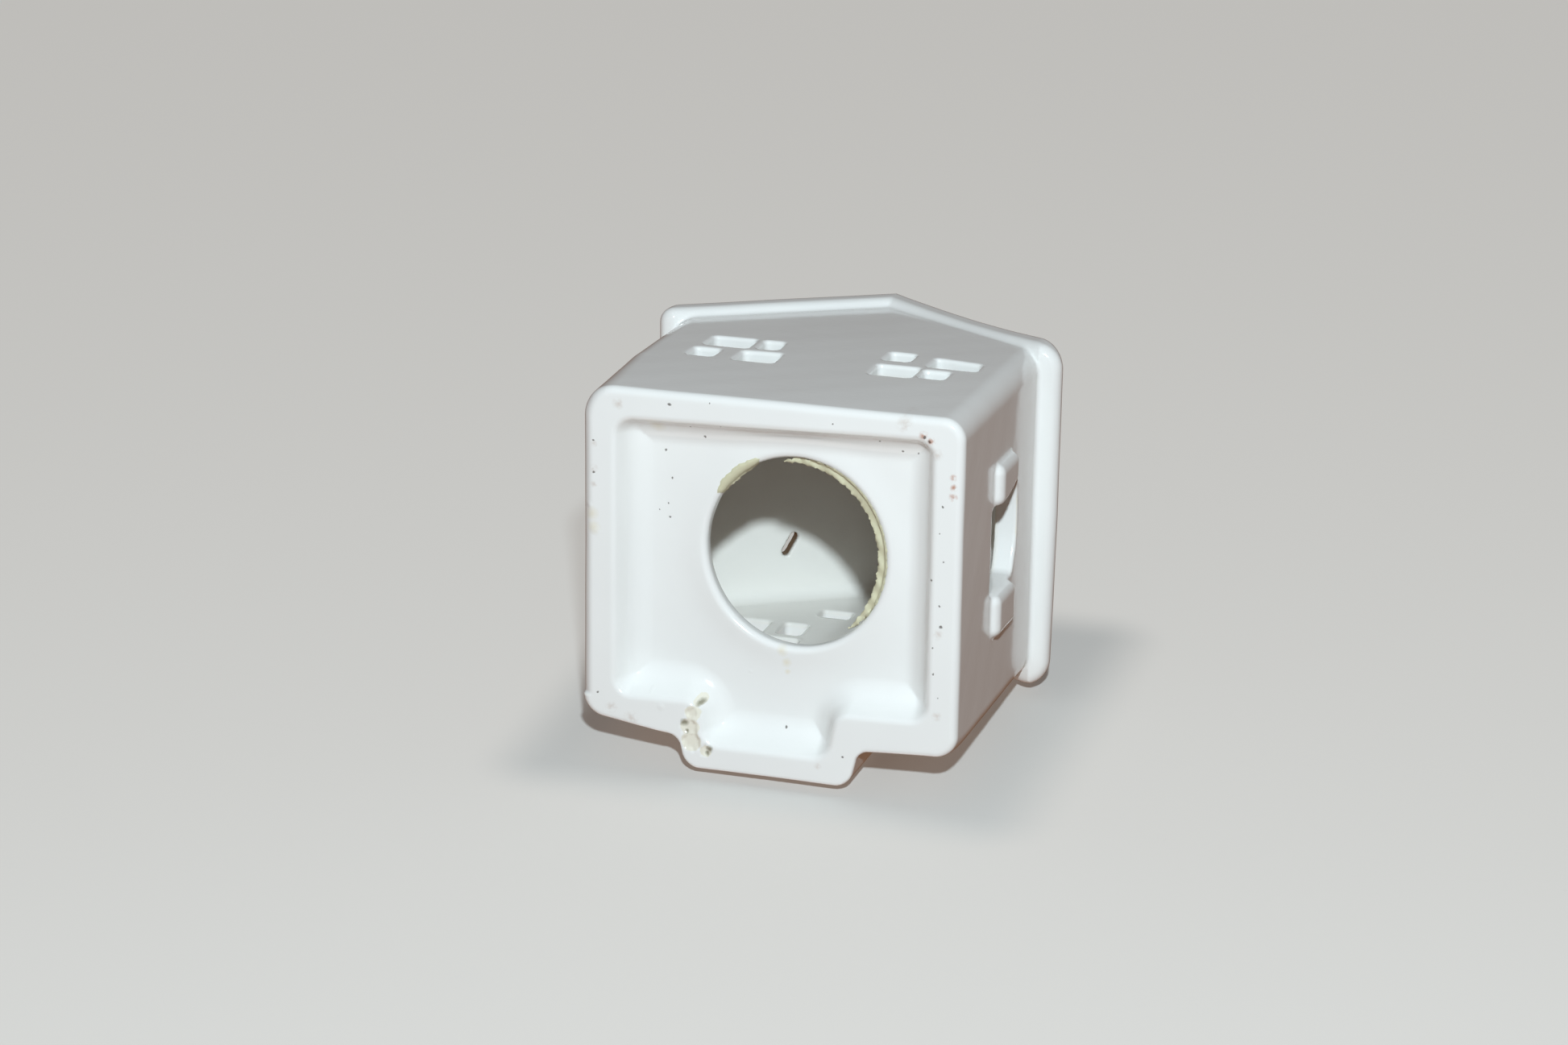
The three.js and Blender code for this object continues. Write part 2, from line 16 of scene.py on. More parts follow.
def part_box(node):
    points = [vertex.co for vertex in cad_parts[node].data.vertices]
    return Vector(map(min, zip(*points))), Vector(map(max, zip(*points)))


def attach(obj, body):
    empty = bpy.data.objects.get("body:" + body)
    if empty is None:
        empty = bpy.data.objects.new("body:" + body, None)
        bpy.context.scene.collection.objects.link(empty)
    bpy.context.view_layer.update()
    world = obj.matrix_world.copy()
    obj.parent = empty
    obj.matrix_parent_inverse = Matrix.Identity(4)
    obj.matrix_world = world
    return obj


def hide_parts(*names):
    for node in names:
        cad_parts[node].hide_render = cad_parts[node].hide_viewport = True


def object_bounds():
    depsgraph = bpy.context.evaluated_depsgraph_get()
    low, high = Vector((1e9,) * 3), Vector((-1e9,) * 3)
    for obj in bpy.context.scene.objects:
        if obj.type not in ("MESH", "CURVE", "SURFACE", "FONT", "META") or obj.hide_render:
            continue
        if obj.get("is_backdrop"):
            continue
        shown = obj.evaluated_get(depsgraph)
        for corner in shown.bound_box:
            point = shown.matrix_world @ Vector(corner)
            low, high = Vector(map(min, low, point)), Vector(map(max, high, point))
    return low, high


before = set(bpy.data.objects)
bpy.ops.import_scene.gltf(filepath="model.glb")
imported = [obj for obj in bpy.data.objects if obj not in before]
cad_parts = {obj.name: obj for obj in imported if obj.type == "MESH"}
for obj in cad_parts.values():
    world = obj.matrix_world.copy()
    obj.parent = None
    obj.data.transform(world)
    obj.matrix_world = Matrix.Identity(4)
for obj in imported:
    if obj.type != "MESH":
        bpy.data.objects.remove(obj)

bl_info = {
    "name": "Glazed ceramic house",
    "version": (1, 0, 0),
    "blender": (4, 5, 0),
    "location": "3D View > Sidebar > House",
    "description": "Builds a slip-cast, glazed ceramic house for a small candle or lamp, with its stage",
    "category": "Add Mesh",
}

BODY = "root"
MM = 0.001


def linear(code):
    """An sRGB hex colour as linear red, green and blue."""
    parts = [int(code[i : i + 2], 16) / 255 for i in (0, 2, 4)]
    return tuple(c / 12.92 if c <= 0.04045 else ((c + 0.055) / 1.055) ** 2.4 for c in parts)


def length(name, description, millimetres):
    """A size that can be set, given here in millimetres."""
    return FloatProperty(
        name=name, description=description, default=millimetres * MM, unit="LENGTH", precision=5
    )


def colour(name, description, code):
    """A colour that can be set, given here as sRGB hex."""
    return FloatVectorProperty(
        name=name, description=description, default=linear(code), subtype="COLOR", size=3
    )


def node_box(node):
    """A frame node's lowest and highest corner in millimetres."""
    low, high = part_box(node)
    return np.array(low) / MM, np.array(high) / MM


class HouseSizes(bpy.types.PropertyGroup):
    """What the frame's boxes don't say about the casting."""

    wall: length("Wall", "Thickness of the cast wall", 3.5)
    front_wall: length("Front wall", "Thickness of the front wall", 5.5)
    corner: length("Corner", "Radius of the upright corners outside", 5)
    inner_corner: length("Inner corner", "Radius of the room's corners", 3)
    porch_corner: length("Porch corner", "Radius of the porch's upright corners", 2.8)
    neck: length("Neck", "Hollow round where the porch leaves the front wall", 2)
    porch_eave: length("Porch eave", "Height of the porch's eave", 27)
    foot_edge: length("Foot edge", "Round of the foot's outer edge", 1.8)
    rim_edge: length("Rim edge", "Round of the rim's inner edge", 0.9)
    left_rim: length("Left rim", "Width of the rim at the left", 7.1)
    right_rim: length("Right rim", "Width of the rim at the right", 8.7)
    rear_rim: length("Rear rim", "Width of the rim at the rear", 6.4)
    front_rim: length("Front rim", "Width of the rim at the front", 8)
    porch_side_rim: length("Porch side rim", "Width of the rim at the porch's sides", 5.6)
    porch_front_rim: length("Porch front rim", "Width of the rim at the porch's front", 6.3)
    cove: length("Cove", "Hollow round between the foot's inner side and the floor", 3.2)
    recess_corner: length("Recess corner", "Radius of the recess's corners in plan", 3.5)
    light_hole_width: length("Light hole width", "Width of the hole in the floor", 39.6)
    light_hole_depth: length("Light hole depth", "Size of the hole from front to rear", 41.8)
    light_hole_across: length("Light hole across", "Place of the hole from the house's middle", -4.4)
    light_hole_back: length("Light hole back", "Place of the hole behind the body's middle", 3.2)
    lip: length("Lip", "How far the floor swells down round the hole", 0.7)
    lip_round: length("Lip round", "Round of the hole's edges", 1.6)
    roof_shell: length("Roof shell", "Thickness of the roof over the room", 4)
    roof_corner: length("Roof corner", "Radius of the roof's corners in plan", 6.5)
    roof_edge: length("Roof edge", "Round of the roof's upper edge", 3.2)
    soffit_edge: length("Soffit edge", "Round of the roof's lower edge", 2.4)
    ridge: length("Ridge", "Round of the ridge", 2)
    pane_arris: length("Pane arris", "Round that the glaze leaves on a cut edge", 0.8)
    crease: length("Crease", "Round that the glaze leaves in a hollow crease", 0.8)
    shutter_crease: length("Shutter crease", "Hollow round at the foot of the shutters", 0.6)
    roof_pitch: FloatProperty(
        name="Roof pitch", description="Slope of the roof", default=math.radians(33.2), subtype="ANGLE"
    )


class HouseColours(bpy.types.PropertyGroup):
    """Colours of the glaze and what lies on it, of the light and the floor, and of light and shade painted on
    the glaze.
    """

    glaze: colour("Glaze", "White glaze where it lies thick", "F1F2EF")
    thin_glaze: colour("Thin glaze", "Clay that shows through the glaze on a sharp edge", "E6DCC0")
    # A warm tint painted on the room's inside, for the light that comes back from a wooden table
    painted_inner_bounce: colour("Inner glaze", "Tint of the cream clay through the thin glaze", "FFFCF8")
    # A dark brown painted as shade on the vent slit's sides, where the slit lies in shadow
    painted_slit_shade: colour("Soot", "Soot in the vent slit", "7A644C")
    clay: colour("Clay", "Fired clay where the glaze is chipped off", "EAE7D8")
    chip_dirt: colour("Chip dirt", "Dirt in the chip's hollows", "7C7862")
    speck: colour("Speck", "Iron specks in the glaze", "4A4038")
    rust: colour("Rust", "Rusty stains", "B98268")
    brown_stain: colour("Brown stain", "Faint brown stains", "C2B0A2")
    yellow_stain: colour("Yellow stain", "Faint yellow stains", "E2D9BC")
    adhesive: colour("Adhesive", "Dried, yellowed adhesive", "8F8749")
    floor: colour("Floor", "Plain pale floor", "DEDDD9")
    room_light: colour("Room light", "Light that comes back from the room", "CAC1BE")
    table_light: colour("Table light", "Light that comes back from a wooden table", "B88058")


# Distances. Each takes numbers or arrays in millimetres and is negative inside.


def round_common(a, b, radius):
    """What two forms share, with a round along the edge between them."""
    past = np.hypot(np.maximum(a + radius, 0), np.maximum(b + radius, 0))
    return np.minimum(np.maximum(a, b), -radius) + past


def round_union(a, b, radius):
    """Two forms joined, with a hollow round along the crease between them."""
    within = np.hypot(np.maximum(radius - a, 0), np.maximum(radius - b, 0))
    return np.maximum(np.minimum(a, b), radius) - within


def round_cut(a, b, radius):
    """The first form without the second, with a round along the new edge."""
    return round_common(a, -b, radius)


def rectangle(u, v, low, high, radius):
    """A rectangle with round corners between two corner points."""
    middle = [(a + b) / 2 for a, b in zip(low, high)]
    half = [(b - a) / 2 for a, b in zip(low, high)]
    out_u = np.abs(u - middle[0]) - half[0] + radius
    out_v = np.abs(v - middle[1]) - half[1] + radius
    outer = np.hypot(np.maximum(out_u, 0), np.maximum(out_v, 0))
    return outer + np.minimum(np.maximum(out_u, out_v), 0) - radius


def pane_shape(u, v, corners, radius):
    """A hand-cut pane, its corners given round the pane, with a small round at each."""
    middle = np.mean(corners, axis=0)
    shape = None
    for (u0, v0), (u1, v1) in zip(corners, corners[1:] + corners[:1]):
        across = np.array([v1 - v0, u0 - u1]) / math.hypot(u1 - u0, v1 - v0)
        if across @ (middle - (u0, v0)) > 0:
            across = -across
        side = (u - u0) * across[0] + (v - v0) * across[1]
        shape = side if shape is None else round_common(shape, side, radius)
    return shape


def upright_pane(left, bottom, width, height):
    """The four corners of a pane that was cut square."""
    return [(left, bottom), (left + width, bottom), (left + width, bottom + height), (left, bottom + height)]


# The panes of the two rear windows, each by its four corners in X and Z as they were cut.
REAR_PANES = [
    [(28.6, 41.6), (18.6, 41.4), (18.7, 49.4), (28.4, 49.2)],
    [(16.5, 42.0), (11.8, 42.2), (12.0, 49.0), (16.6, 49.2)],
    [(29.4, 32.0), (23.6, 31.8), (23.4, 38.4), (29.3, 38.6)],
    [(18.5, 31.0), (9.4, 31.0), (9.6, 39.4), (18.4, 39.1)],
    [(-12.2, 42.4), (-18.0, 42.6), (-18.1, 49.2), (-12.4, 49.4)],
    [(-23.0, 39.9), (-34.0, 39.7), (-33.8, 45.6), (-23.2, 47.5)],
    [(-12.8, 29.6), (-22.0, 29.5), (-22.1, 38.2), (-12.6, 38.3)],
    [(-23.6, 30.6), (-29.0, 30.4), (-29.2, 36.9), (-23.4, 36.9)],
]

# The panes of a front window, each by where it starts beside the window's middle, its height over the sill,
# its width and its height. The other window is its mirror image.
FRONT_PANES = [
    (-10.4, 0.2, 9.5, 9.3), (2.4, 1.2, 5.7, 8.0), (-9.4, 12.2, 5.5, 7.8), (-0.4, 10.6, 10.5, 9.2),
]
FRONT_SILL = 43.0
WINDOW_SPACING = 42.2
WINDOW_SHIFT = -1.9
ATTIC_PANES = [upright_pane(-7.2, 70, 7, 4.7), upright_pane(2.8, 70, 7, 4.7)]
PANE_CORNER = 1.0

# The arched side window in Y and Z. Its rear jamb was cut at a lean, through the shutter's edge.
SIDE_WINDOW_WIDTH = 19.0
SIDE_WINDOW_LEAN = 5.0
SIDE_WINDOW_FRONT = -4.8
SIDE_WINDOW_SILL = 25.0
SIDE_WINDOW_SPRING = 43.0
SIDE_WINDOW_RISE = 4.0
SIDE_WINDOW_CORNER = 0.8

# The vent slit in the right slope: its middle in X and Y where the slope is VENT_HEIGHT high, its length and
# width, and how far it is turned
VENT_PLACE = (20.0, -15.8)
VENT_SIZE = (6.2, 2.0)
VENT_TURN = math.radians(124.5)
VENT_HEIGHT = 80.0

# The door pressed into the porch
DOOR_HALF_WIDTH = 7.0
DOOR_SILL = 8.0
DOOR_SPRING = 18.0
DOOR_DEPTH = 1.0
DOOR_EDGE = 0.35

# How deep the walls wave and the glaze ripples
WAVE_DEPTH = 0.06
RIPPLE_DEPTH = 0.015

# How far from a form its rounds still reach
REACH = 4.0

# The roof narrows a little towards the front, and the rear verge of its left slope sags
ROOF_TAPER = 0.7
VERGE_SAG = 0.95

# The right slope came out a little short, with a tighter corner at the rear
ROOF_SHORT = 1.2
ROOF_CORNER_LESS = 3.0

# The wall swells inwards round the side window, where the shutters were pressed on: how far, over what reach,
# and about which place in Y and Z
WINDOW_SWELL = 3.2
WINDOW_SWELL_REACH = 15.0
WINDOW_SWELL_PLACE = (6.0, 36.0)

# Rounds along the shutters' and the porch roof's edges
SHUTTER_EDGE = 2.4
PORCH_ROOF_EDGE = 1.5

# The foot was trimmed by hand. Its front edge bows, by so much at each of these places in X.
BOW_PLACES = (-42.0, -36.0, -25.0, -20.0, 20.0, 24.0, 37.0, 42.0)
BOWS = (1.2, 1.0, 0.4, 0.0, -1.4, -1.0, 1.1, 1.6)
BOW_HEIGHT = 9.0

# Low down the walls draw in at the right, and their right rear corner is rounder
DRAW_IN = 0.7
DRAW_HEIGHT = 30.0
REAR_CORNER_MORE = 2.5

# The foot's edge was wiped sharper along the front and rounder at the right, within these bands
FRONT_EDGE_ROUND = 0.8
FRONT_EDGE_BAND = 6.0
RIGHT_EDGE_MORE = 1.2
RIGHT_EDGE_BAND = (6.0, 2.0)

# The porch's sides draw together towards its front, by a limited amount, and it stands a little to the left
PORCH_LEAN = 0.24
PORCH_LEAN_LIMIT = 1.0
PORCH_SHIFT = -0.4
PORCH_FRONT_CORNER = 3.2

# The recess lies a little askew, its sides lean, and the porch's part narrows to the front
RECESS_TURN = 0.027
RECESS_LEAN = 0.5
PORCH_RECESS_LEAN = 0.2

# How far from the light hole the floor still swells
LIP_REACH = 4.5

# A chip on the rim by the porch, as discs in X and Y with their radius
CHIP = [
    (15.2, -27.6, 1.2), (16.4, -30.2, 1.8), (16.9, -33.4, 2.2), (16.6, -36.6, 2.4), (13.2, -38.4, 1.4),
]
CHIP_DEPTH = 0.45
CHIP_RAGGED = 0.3


class Casting:
    """The glazed casting, as the distance from a point to its surface in millimetres."""

    def __init__(self, sizes):
        lengths = [name for name in HouseSizes.__annotations__ if name != "roof_pitch"]
        self.size = {name: getattr(sizes, name) / MM for name in lengths}
        self.side = node_box("right_side_wall")[1][0]
        self.front = node_box("front_gable_wall")[0][1]
        self.rear = node_box("rear_gable_wall")[1][1]
        self.middle = (self.front + self.rear) / 2
        porch_low, porch_high = node_box("porch")
        self.porch_side = porch_high[0]
        self.porch_front = porch_low[1]
        self.porch_top = porch_high[2]
        self.under_floor = node_box("foot_ring")[1][2]
        self.floor = node_box("floor_panel")[1][2]
        self.roof_low, self.roof_high = node_box("right_roof_slope")
        self.eave = self.roof_low[2]
        self.slope = math.tan(sizes.roof_pitch)
        self.lean = math.cos(sizes.roof_pitch)
        self.hole = (self.size["light_hole_across"], self.middle + self.size["light_hole_back"])
        self.hole_half = (self.size["light_hole_width"] / 2, self.size["light_hole_depth"] / 2)

    def under_slope(self, x, z):
        """Height over the sloped underside of the roof, square to the slope."""
        rise = (self.side - np.abs(x)) * self.slope
        return (z - self.eave - rise) * self.lean

    def over_roof(self, x, z):
        """Height over the roof's top, square to the slope, with a round ridge."""
        right = (z - self.roof_high[2] + x * self.slope) * self.lean
        left = (z - self.roof_high[2] - x * self.slope) * self.lean
        return round_common(right, left, self.size["ridge"])

    def roof(self, x, y, z):
        """Both slopes of the roof, with their round edges, down to the level soffits under the eaves."""
        reach = self.roof_high[0]
        taper = ROOF_TAPER * np.clip((self.middle - y) / (self.middle - self.front), 0, 1)
        sag = VERGE_SAG * np.sin(np.pi * np.clip(-x / reach, 0, 1)) * (y > self.middle)
        short = ROOF_SHORT * np.clip(x / reach, 0, 1)
        corner = self.size["roof_corner"] - ROOF_CORNER_LESS * (x > 0) * (y > self.middle)
        low, high = (-reach, self.roof_low[1]), (reach, self.roof_high[1])
        plan = rectangle(x + np.sign(x) * taper + short, y + sag, low, high, corner)
        top = round_common(plan, self.over_roof(x, z), self.size["roof_edge"])
        underside = np.maximum(self.eave - z, -self.under_slope(x, z))
        return round_common(top, underside, self.size["soffit_edge"])

    def porch(self, x, y, z):
        """The porch under its hipped roof, with the arched door pressed in."""
        eave = self.size["porch_eave"]
        across = x - PORCH_SHIFT
        lean = PORCH_LEAN * (y - (self.front + self.porch_front) / 2)
        wide = self.porch_side + np.clip(lean, -PORCH_LEAN_LIMIT, PORCH_LEAN_LIMIT)
        plan = rectangle(across, y, (-wide, self.porch_front), (wide, self.middle), PORCH_FRONT_CORNER)
        steep = (self.porch_top - eave) / (self.front - self.porch_front)
        square = math.hypot(1, steep)
        front_hip = (z - eave - (y - self.porch_front) * steep) / square
        side_hip = (z - eave - (self.porch_side - np.abs(across)) * steep) / square
        hips = round_common(front_hip, side_hip, PORCH_ROOF_EDGE)
        shape = round_common(plan, hips, PORCH_ROOF_EDGE)
        door = np.maximum(np.abs(x) - DOOR_HALF_WIDTH, DOOR_SILL - z)
        arch = np.where(z > DOOR_SPRING, np.hypot(x, z - DOOR_SPRING) - DOOR_HALF_WIDTH, door)
        return round_cut(shape, np.maximum(arch, y - self.porch_front - DOOR_DEPTH), DOOR_EDGE)

    def shutters(self, x, y, z):
        """The four raised shutters, run on into the wall."""
        shapes = []
        for end in ("front", "rear"):
            low, high = node_box(f"right_{end}_shutter")
            face = rectangle(y, z, low[1:], high[1:], SHUTTER_EDGE)
            shapes.append(round_common(face, np.abs(x) - high[0], SHUTTER_EDGE))
        return np.maximum(np.minimum(*shapes), self.side - self.size["wall"] / 2 - np.abs(x))

    def room(self, x, y, z):
        """The hollow inside: the room, the space under the roof and the porch."""
        size = self.size
        wall = size["wall"]
        side = self.side - wall
        front = self.front + size["front_wall"]
        aside = (y - WINDOW_SWELL_PLACE[0]) ** 2 + (z - WINDOW_SWELL_PLACE[1]) ** 2
        swell = WINDOW_SWELL * np.exp(-aside / WINDOW_SWELL_REACH**2)
        low, high = (-side, front), (side, self.rear - wall)
        plan = rectangle(x + np.sign(x) * swell, y, low, high, size["inner_corner"])
        shape = round_common(plan, self.over_roof(x, z) + size["roof_shell"], size["inner_corner"])
        porch_side = self.porch_side - wall
        low = (-porch_side, self.porch_front + wall)
        porch = rectangle(x, y, low, (porch_side, self.middle), size["porch_corner"])
        porch = round_common(porch, z - size["porch_eave"] + wall, size["neck"])
        shape = round_union(shape, porch, size["neck"])
        return round_common(shape, self.floor - z, size["inner_corner"])

    def from_hole(self, x, y):
        """How far a place in the floor lies outside the light hole."""
        across = (x - self.hole[0]) / self.hole_half[0]
        along = (y - self.hole[1]) / self.hole_half[1]
        share = np.hypot(across, along)
        steep = np.hypot(across / self.hole_half[0], along / self.hole_half[1])
        return (share - 1) * share / np.maximum(steep, TINY)

    def recess(self, x, y, z):
        """The hollow of the foot: its sides lean up to the floor, which swells round the light hole."""
        size = self.size
        low = (-self.side + size["left_rim"], self.front + size["front_rim"])
        high = (self.side - size["right_rim"], self.rear - size["rear_rim"])
        plan = rectangle(x, y + RECESS_TURN * x, low, high, size["recess_corner"])
        porch_side = self.porch_side - size["porch_side_rim"] + PORCH_RECESS_LEAN * (y - self.front)
        low = (-porch_side, self.porch_front + size["porch_front_rim"])
        porch = rectangle(x, y, low, (porch_side, self.middle), size["inner_corner"])
        plan = round_union(plan, porch, size["inner_corner"])
        side = (plan + (z - size["rim_edge"]) * RECESS_LEAN) / math.hypot(1, RECESS_LEAN)
        swell = size["lip"] * np.exp(-np.maximum(self.from_hole(x, y), 0) ** 2 / LIP_REACH**2)
        return round_common(side, z - self.under_floor + swell, size["cove"])

    def rear_openings(self, x, y, z):
        """The eight panes of the rear wall."""
        panes = [pane_shape(x, z, corners, PANE_CORNER) for corners in REAR_PANES]
        return np.maximum(np.minimum.reduce(panes), self.middle - y)

    def front_openings(self, x, y, z):
        """The panes of the front wall's two windows and of its attic window."""
        panes = list(ATTIC_PANES)
        for hand in (-1, 1):
            centre = WINDOW_SHIFT + hand * WINDOW_SPACING / 2
            for start, over, width, height in FRONT_PANES:
                near = centre + hand * start
                left = min(near, near + hand * width)
                panes.append(upright_pane(left, FRONT_SILL + over, width, height))
        shapes = [pane_shape(x, z, corners, PANE_CORNER) for corners in panes]
        return np.maximum(np.minimum.reduce(shapes), y - self.middle)

    def side_openings(self, x, y, z):
        """The arched windows of both side walls."""
        half = (SIDE_WINDOW_WIDTH + SIDE_WINDOW_LEAN) / 2
        arch = (half**2 + SIDE_WINDOW_RISE**2) / (2 * SIDE_WINDOW_RISE)
        top = SIDE_WINDOW_SPRING + SIDE_WINDOW_RISE
        rear = SIDE_WINDOW_FRONT + SIDE_WINDOW_WIDTH
        corners = [
            (SIDE_WINDOW_FRONT, SIDE_WINDOW_SILL),
            (rear, SIDE_WINDOW_SILL),
            (rear + SIDE_WINDOW_LEAN, SIDE_WINDOW_SPRING),
            (rear + SIDE_WINDOW_LEAN, top),
            (SIDE_WINDOW_FRONT, top),
        ]
        side = pane_shape(y, z, corners, SIDE_WINDOW_CORNER)
        over_arch = np.hypot(y - SIDE_WINDOW_FRONT - half, z - top + arch) - arch
        side = round_common(side, over_arch, SIDE_WINDOW_CORNER)
        return np.maximum(side, self.side / 2 - np.abs(x))

    def vent(self, x, y, z):
        """The slit, cut square to the slope."""
        beside = x - (z - VENT_HEIGHT) * self.slope - VENT_PLACE[0]
        behind = y - VENT_PLACE[1]
        along = beside * math.cos(VENT_TURN) + behind * math.sin(VENT_TURN)
        across = behind * math.cos(VENT_TURN) - beside * math.sin(VENT_TURN)
        half_slit = [s / 2 for s in VENT_SIZE]
        vent = rectangle(along, across, [-s for s in half_slit], half_slit, half_slit[1])
        return np.maximum(vent, self.eave - z)

    def openings(self, x, y, z):
        """What was cut through the walls and the roof, each group where there are points beside it."""
        shapes = []
        if np.max(z) > SIDE_WINDOW_SILL - REACH:
            if np.max(y) > self.rear - self.size["wall"] - REACH:
                shapes.append(self.rear_openings(x, y, z))
            if np.min(y) < self.front + self.size["front_wall"] + REACH:
                shapes.append(self.front_openings(x, y, z))
            if np.max(np.abs(x)) > self.side - self.size["wall"] - REACH:
                shapes.append(self.side_openings(x, y, z))
            if np.max(z) > self.eave:
                shapes.append(self.vent(x, y, z))
        return np.minimum.reduce(shapes) if shapes else None

    def foot_round(self, x, y):
        """The round of the foot's outer edge, in each place as it was wiped."""
        behind = self.front + FRONT_EDGE_BAND
        front = np.interp(y, (self.front, behind), (FRONT_EDGE_ROUND, self.size["foot_edge"]))
        band = [self.side - inset for inset in RIGHT_EDGE_BAND]
        return front + np.interp(x, band, (0, RIGHT_EDGE_MORE)) * (y > behind)

    def chip(self, x, y, z):
        """The shallow bowl of the chip on the rim."""
        discs = [np.hypot(x - across, y - along) - radius for across, along, radius in CHIP]
        chip = np.minimum.reduce(discs) + CHIP_RAGGED * np.sin(x * 3.1 + y) * np.sin(y * 2.3 - x)
        return np.maximum(chip, z - CHIP_DEPTH * np.clip(-chip, 0, 1))

    def hollow_foot(self, shape, x, y, z):
        """The form with the room, the hollow of the foot and the light hole taken out."""
        size = self.size
        shape = round_common(shape, -z, self.foot_round(x, y))
        shape = np.maximum(shape, -self.room(x, y, z))
        shape = round_cut(shape, self.recess(x, y, z), size["rim_edge"])
        hole = np.maximum(self.from_hole(x, y), z - self.floor - size["wall"])
        shape = round_cut(shape, hole, size["lip_round"])
        return np.maximum(shape, -self.chip(x, y, z))

    def body(self, x, y, z):
        """The solid of the four walls up to the roof's underside, trimmed by hand at its foot."""
        low_down = np.clip(1 - z / DRAW_HEIGHT, 0, 1) * (x > 0)
        bow = np.interp(x, BOW_PLACES, BOWS) * np.clip(1 - z / BOW_HEIGHT, 0, 1) ** 2 * (y < self.middle)
        corner = self.size["corner"] + REAR_CORNER_MORE * low_down * (y > self.middle)
        low, high = (-self.side, self.front), (self.side, self.rear)
        plan = rectangle(x + DRAW_IN * low_down, y - bow, low, high, corner)
        return np.maximum(plan, self.over_roof(x, z) + self.size["roof_shell"])

    def distance(self, x, y, z):
        """How far a point lies outside the glazed surface. Forms out of a point's reach are left out."""
        size = self.size
        shape = self.body(x, y, z)
        if np.min(y) < self.front + REACH:
            shape = round_union(shape, self.porch(x, y, z), size["neck"])
        if np.max(np.abs(x)) > self.side - REACH:
            shape = round_union(shape, self.shutters(x, y, z), size["shutter_crease"])
        if np.max(z) > self.eave - REACH:
            shape = round_union(shape, self.roof(x, y, z), size["crease"])
        if np.min(z) < self.floor + REACH:
            shape = self.hollow_foot(shape, x, y, z)
        else:
            shape = np.maximum(shape, -self.room(x, y, z))
        openings = self.openings(x, y, z)
        if openings is not None:
            shape = round_cut(shape, openings, size["pane_arris"])
        return shape + self.unevenness(x, y, z)

    def unevenness(self, x, y, z):
        """How far the surface lies inside its true place, as no wall is quite flat and the glaze ran. The
        waves differ in length, in millimetres, so that they don't line up.
        """
        waves = np.sin(x / 7.1 + 1.3) * np.sin(y / 8.3 + 0.4) * np.sin(z / 9.7 + 2.1)
        finer = np.sin(x / 2.9 + z / 3.7) * np.sin(y / 3.1 - z / 4.3)
        return WAVE_DEPTH * (1 + waves) + RIPPLE_DEPTH * (1 + finer)


# Directions in which a plane clears the casting
BACK, FORWARD = (0, 1, 0), (0, -1, 0)
UP, DOWN = (0, 0, 1), (0, 0, -1)
RIGHT, LEFT = (1, 0, 0), (-1, 0, 0)

GRID = 0.6
FINE_GRID = 0.45
SHUTTER_GRID = 0.3
FILM_GRID = 0.2
MARGIN = 1.5

# How far a cut between pieces stands off the side wall and off the front wall
SHUTTER_STAND = 0.5
PROUD = 0.12

# The rounds in which pinched places are parted and points are moved to the surface, how far a parted corner
# counts as outside, how hard near-parallel surfaces are held back, and the least length to divide by
PINCH_ROUNDS = 2
PINCH_GAP = 1e-3
SETTLE_ROUNDS = 3
SETTLE_DAMPING = 0.01
TINY = 1e-6

# How far a bend is felt for, and the sharpest bend that is told apart
BEND_REACH = 0.3
BEND_LIMIT = 2.0

# How near the room's surface a point counts as inside. A dark brown is painted as shade on the slit's
# sides, with a soft edge, and fades towards the room.
HOLLOW_REACH = 1.5
SLIT_SHADE_REACH = 0.625
SLIT_SHADE_FEATHER = 0.25
SLIT_SHADE_FADE = 1.5
SLIT_SHADE_CLEAR = 0.4


def plane_field(place, direction):
    """The distance in front of a plane, given by a point on it and the direction that is cleared."""
    level = sum(p * d for p, d in zip(place, direction))
    return lambda x, y, z: x * direction[0] + y * direction[1] + z * direction[2] - level


def part_touching(values, inside):
    """Clears a grid corner wherever two filled ones touch only across a square, as that pinches the mesh."""
    for axis in list(range(3)) * PINCH_ROUNDS:
        filled = np.moveaxis(inside, axis, 0)
        level = np.moveaxis(values, axis + 1, 1)
        rising = (filled[:, :-1, :-1], filled[:, 1:, 1:])
        falling = (filled[:, 1:, :-1], filled[:, :-1, 1:])
        for pair, others, row_step in ((rising, falling, 0), (falling, rising, 1)):
            layer, row, column = np.nonzero(pair[0] & pair[1] & ~others[0] & ~others[1])
            corner = (layer, row + row_step, column)
            filled[corner] = False
            level[(level[(slice(None), *corner)].argmax(axis=0), *corner)] = PINCH_GAP


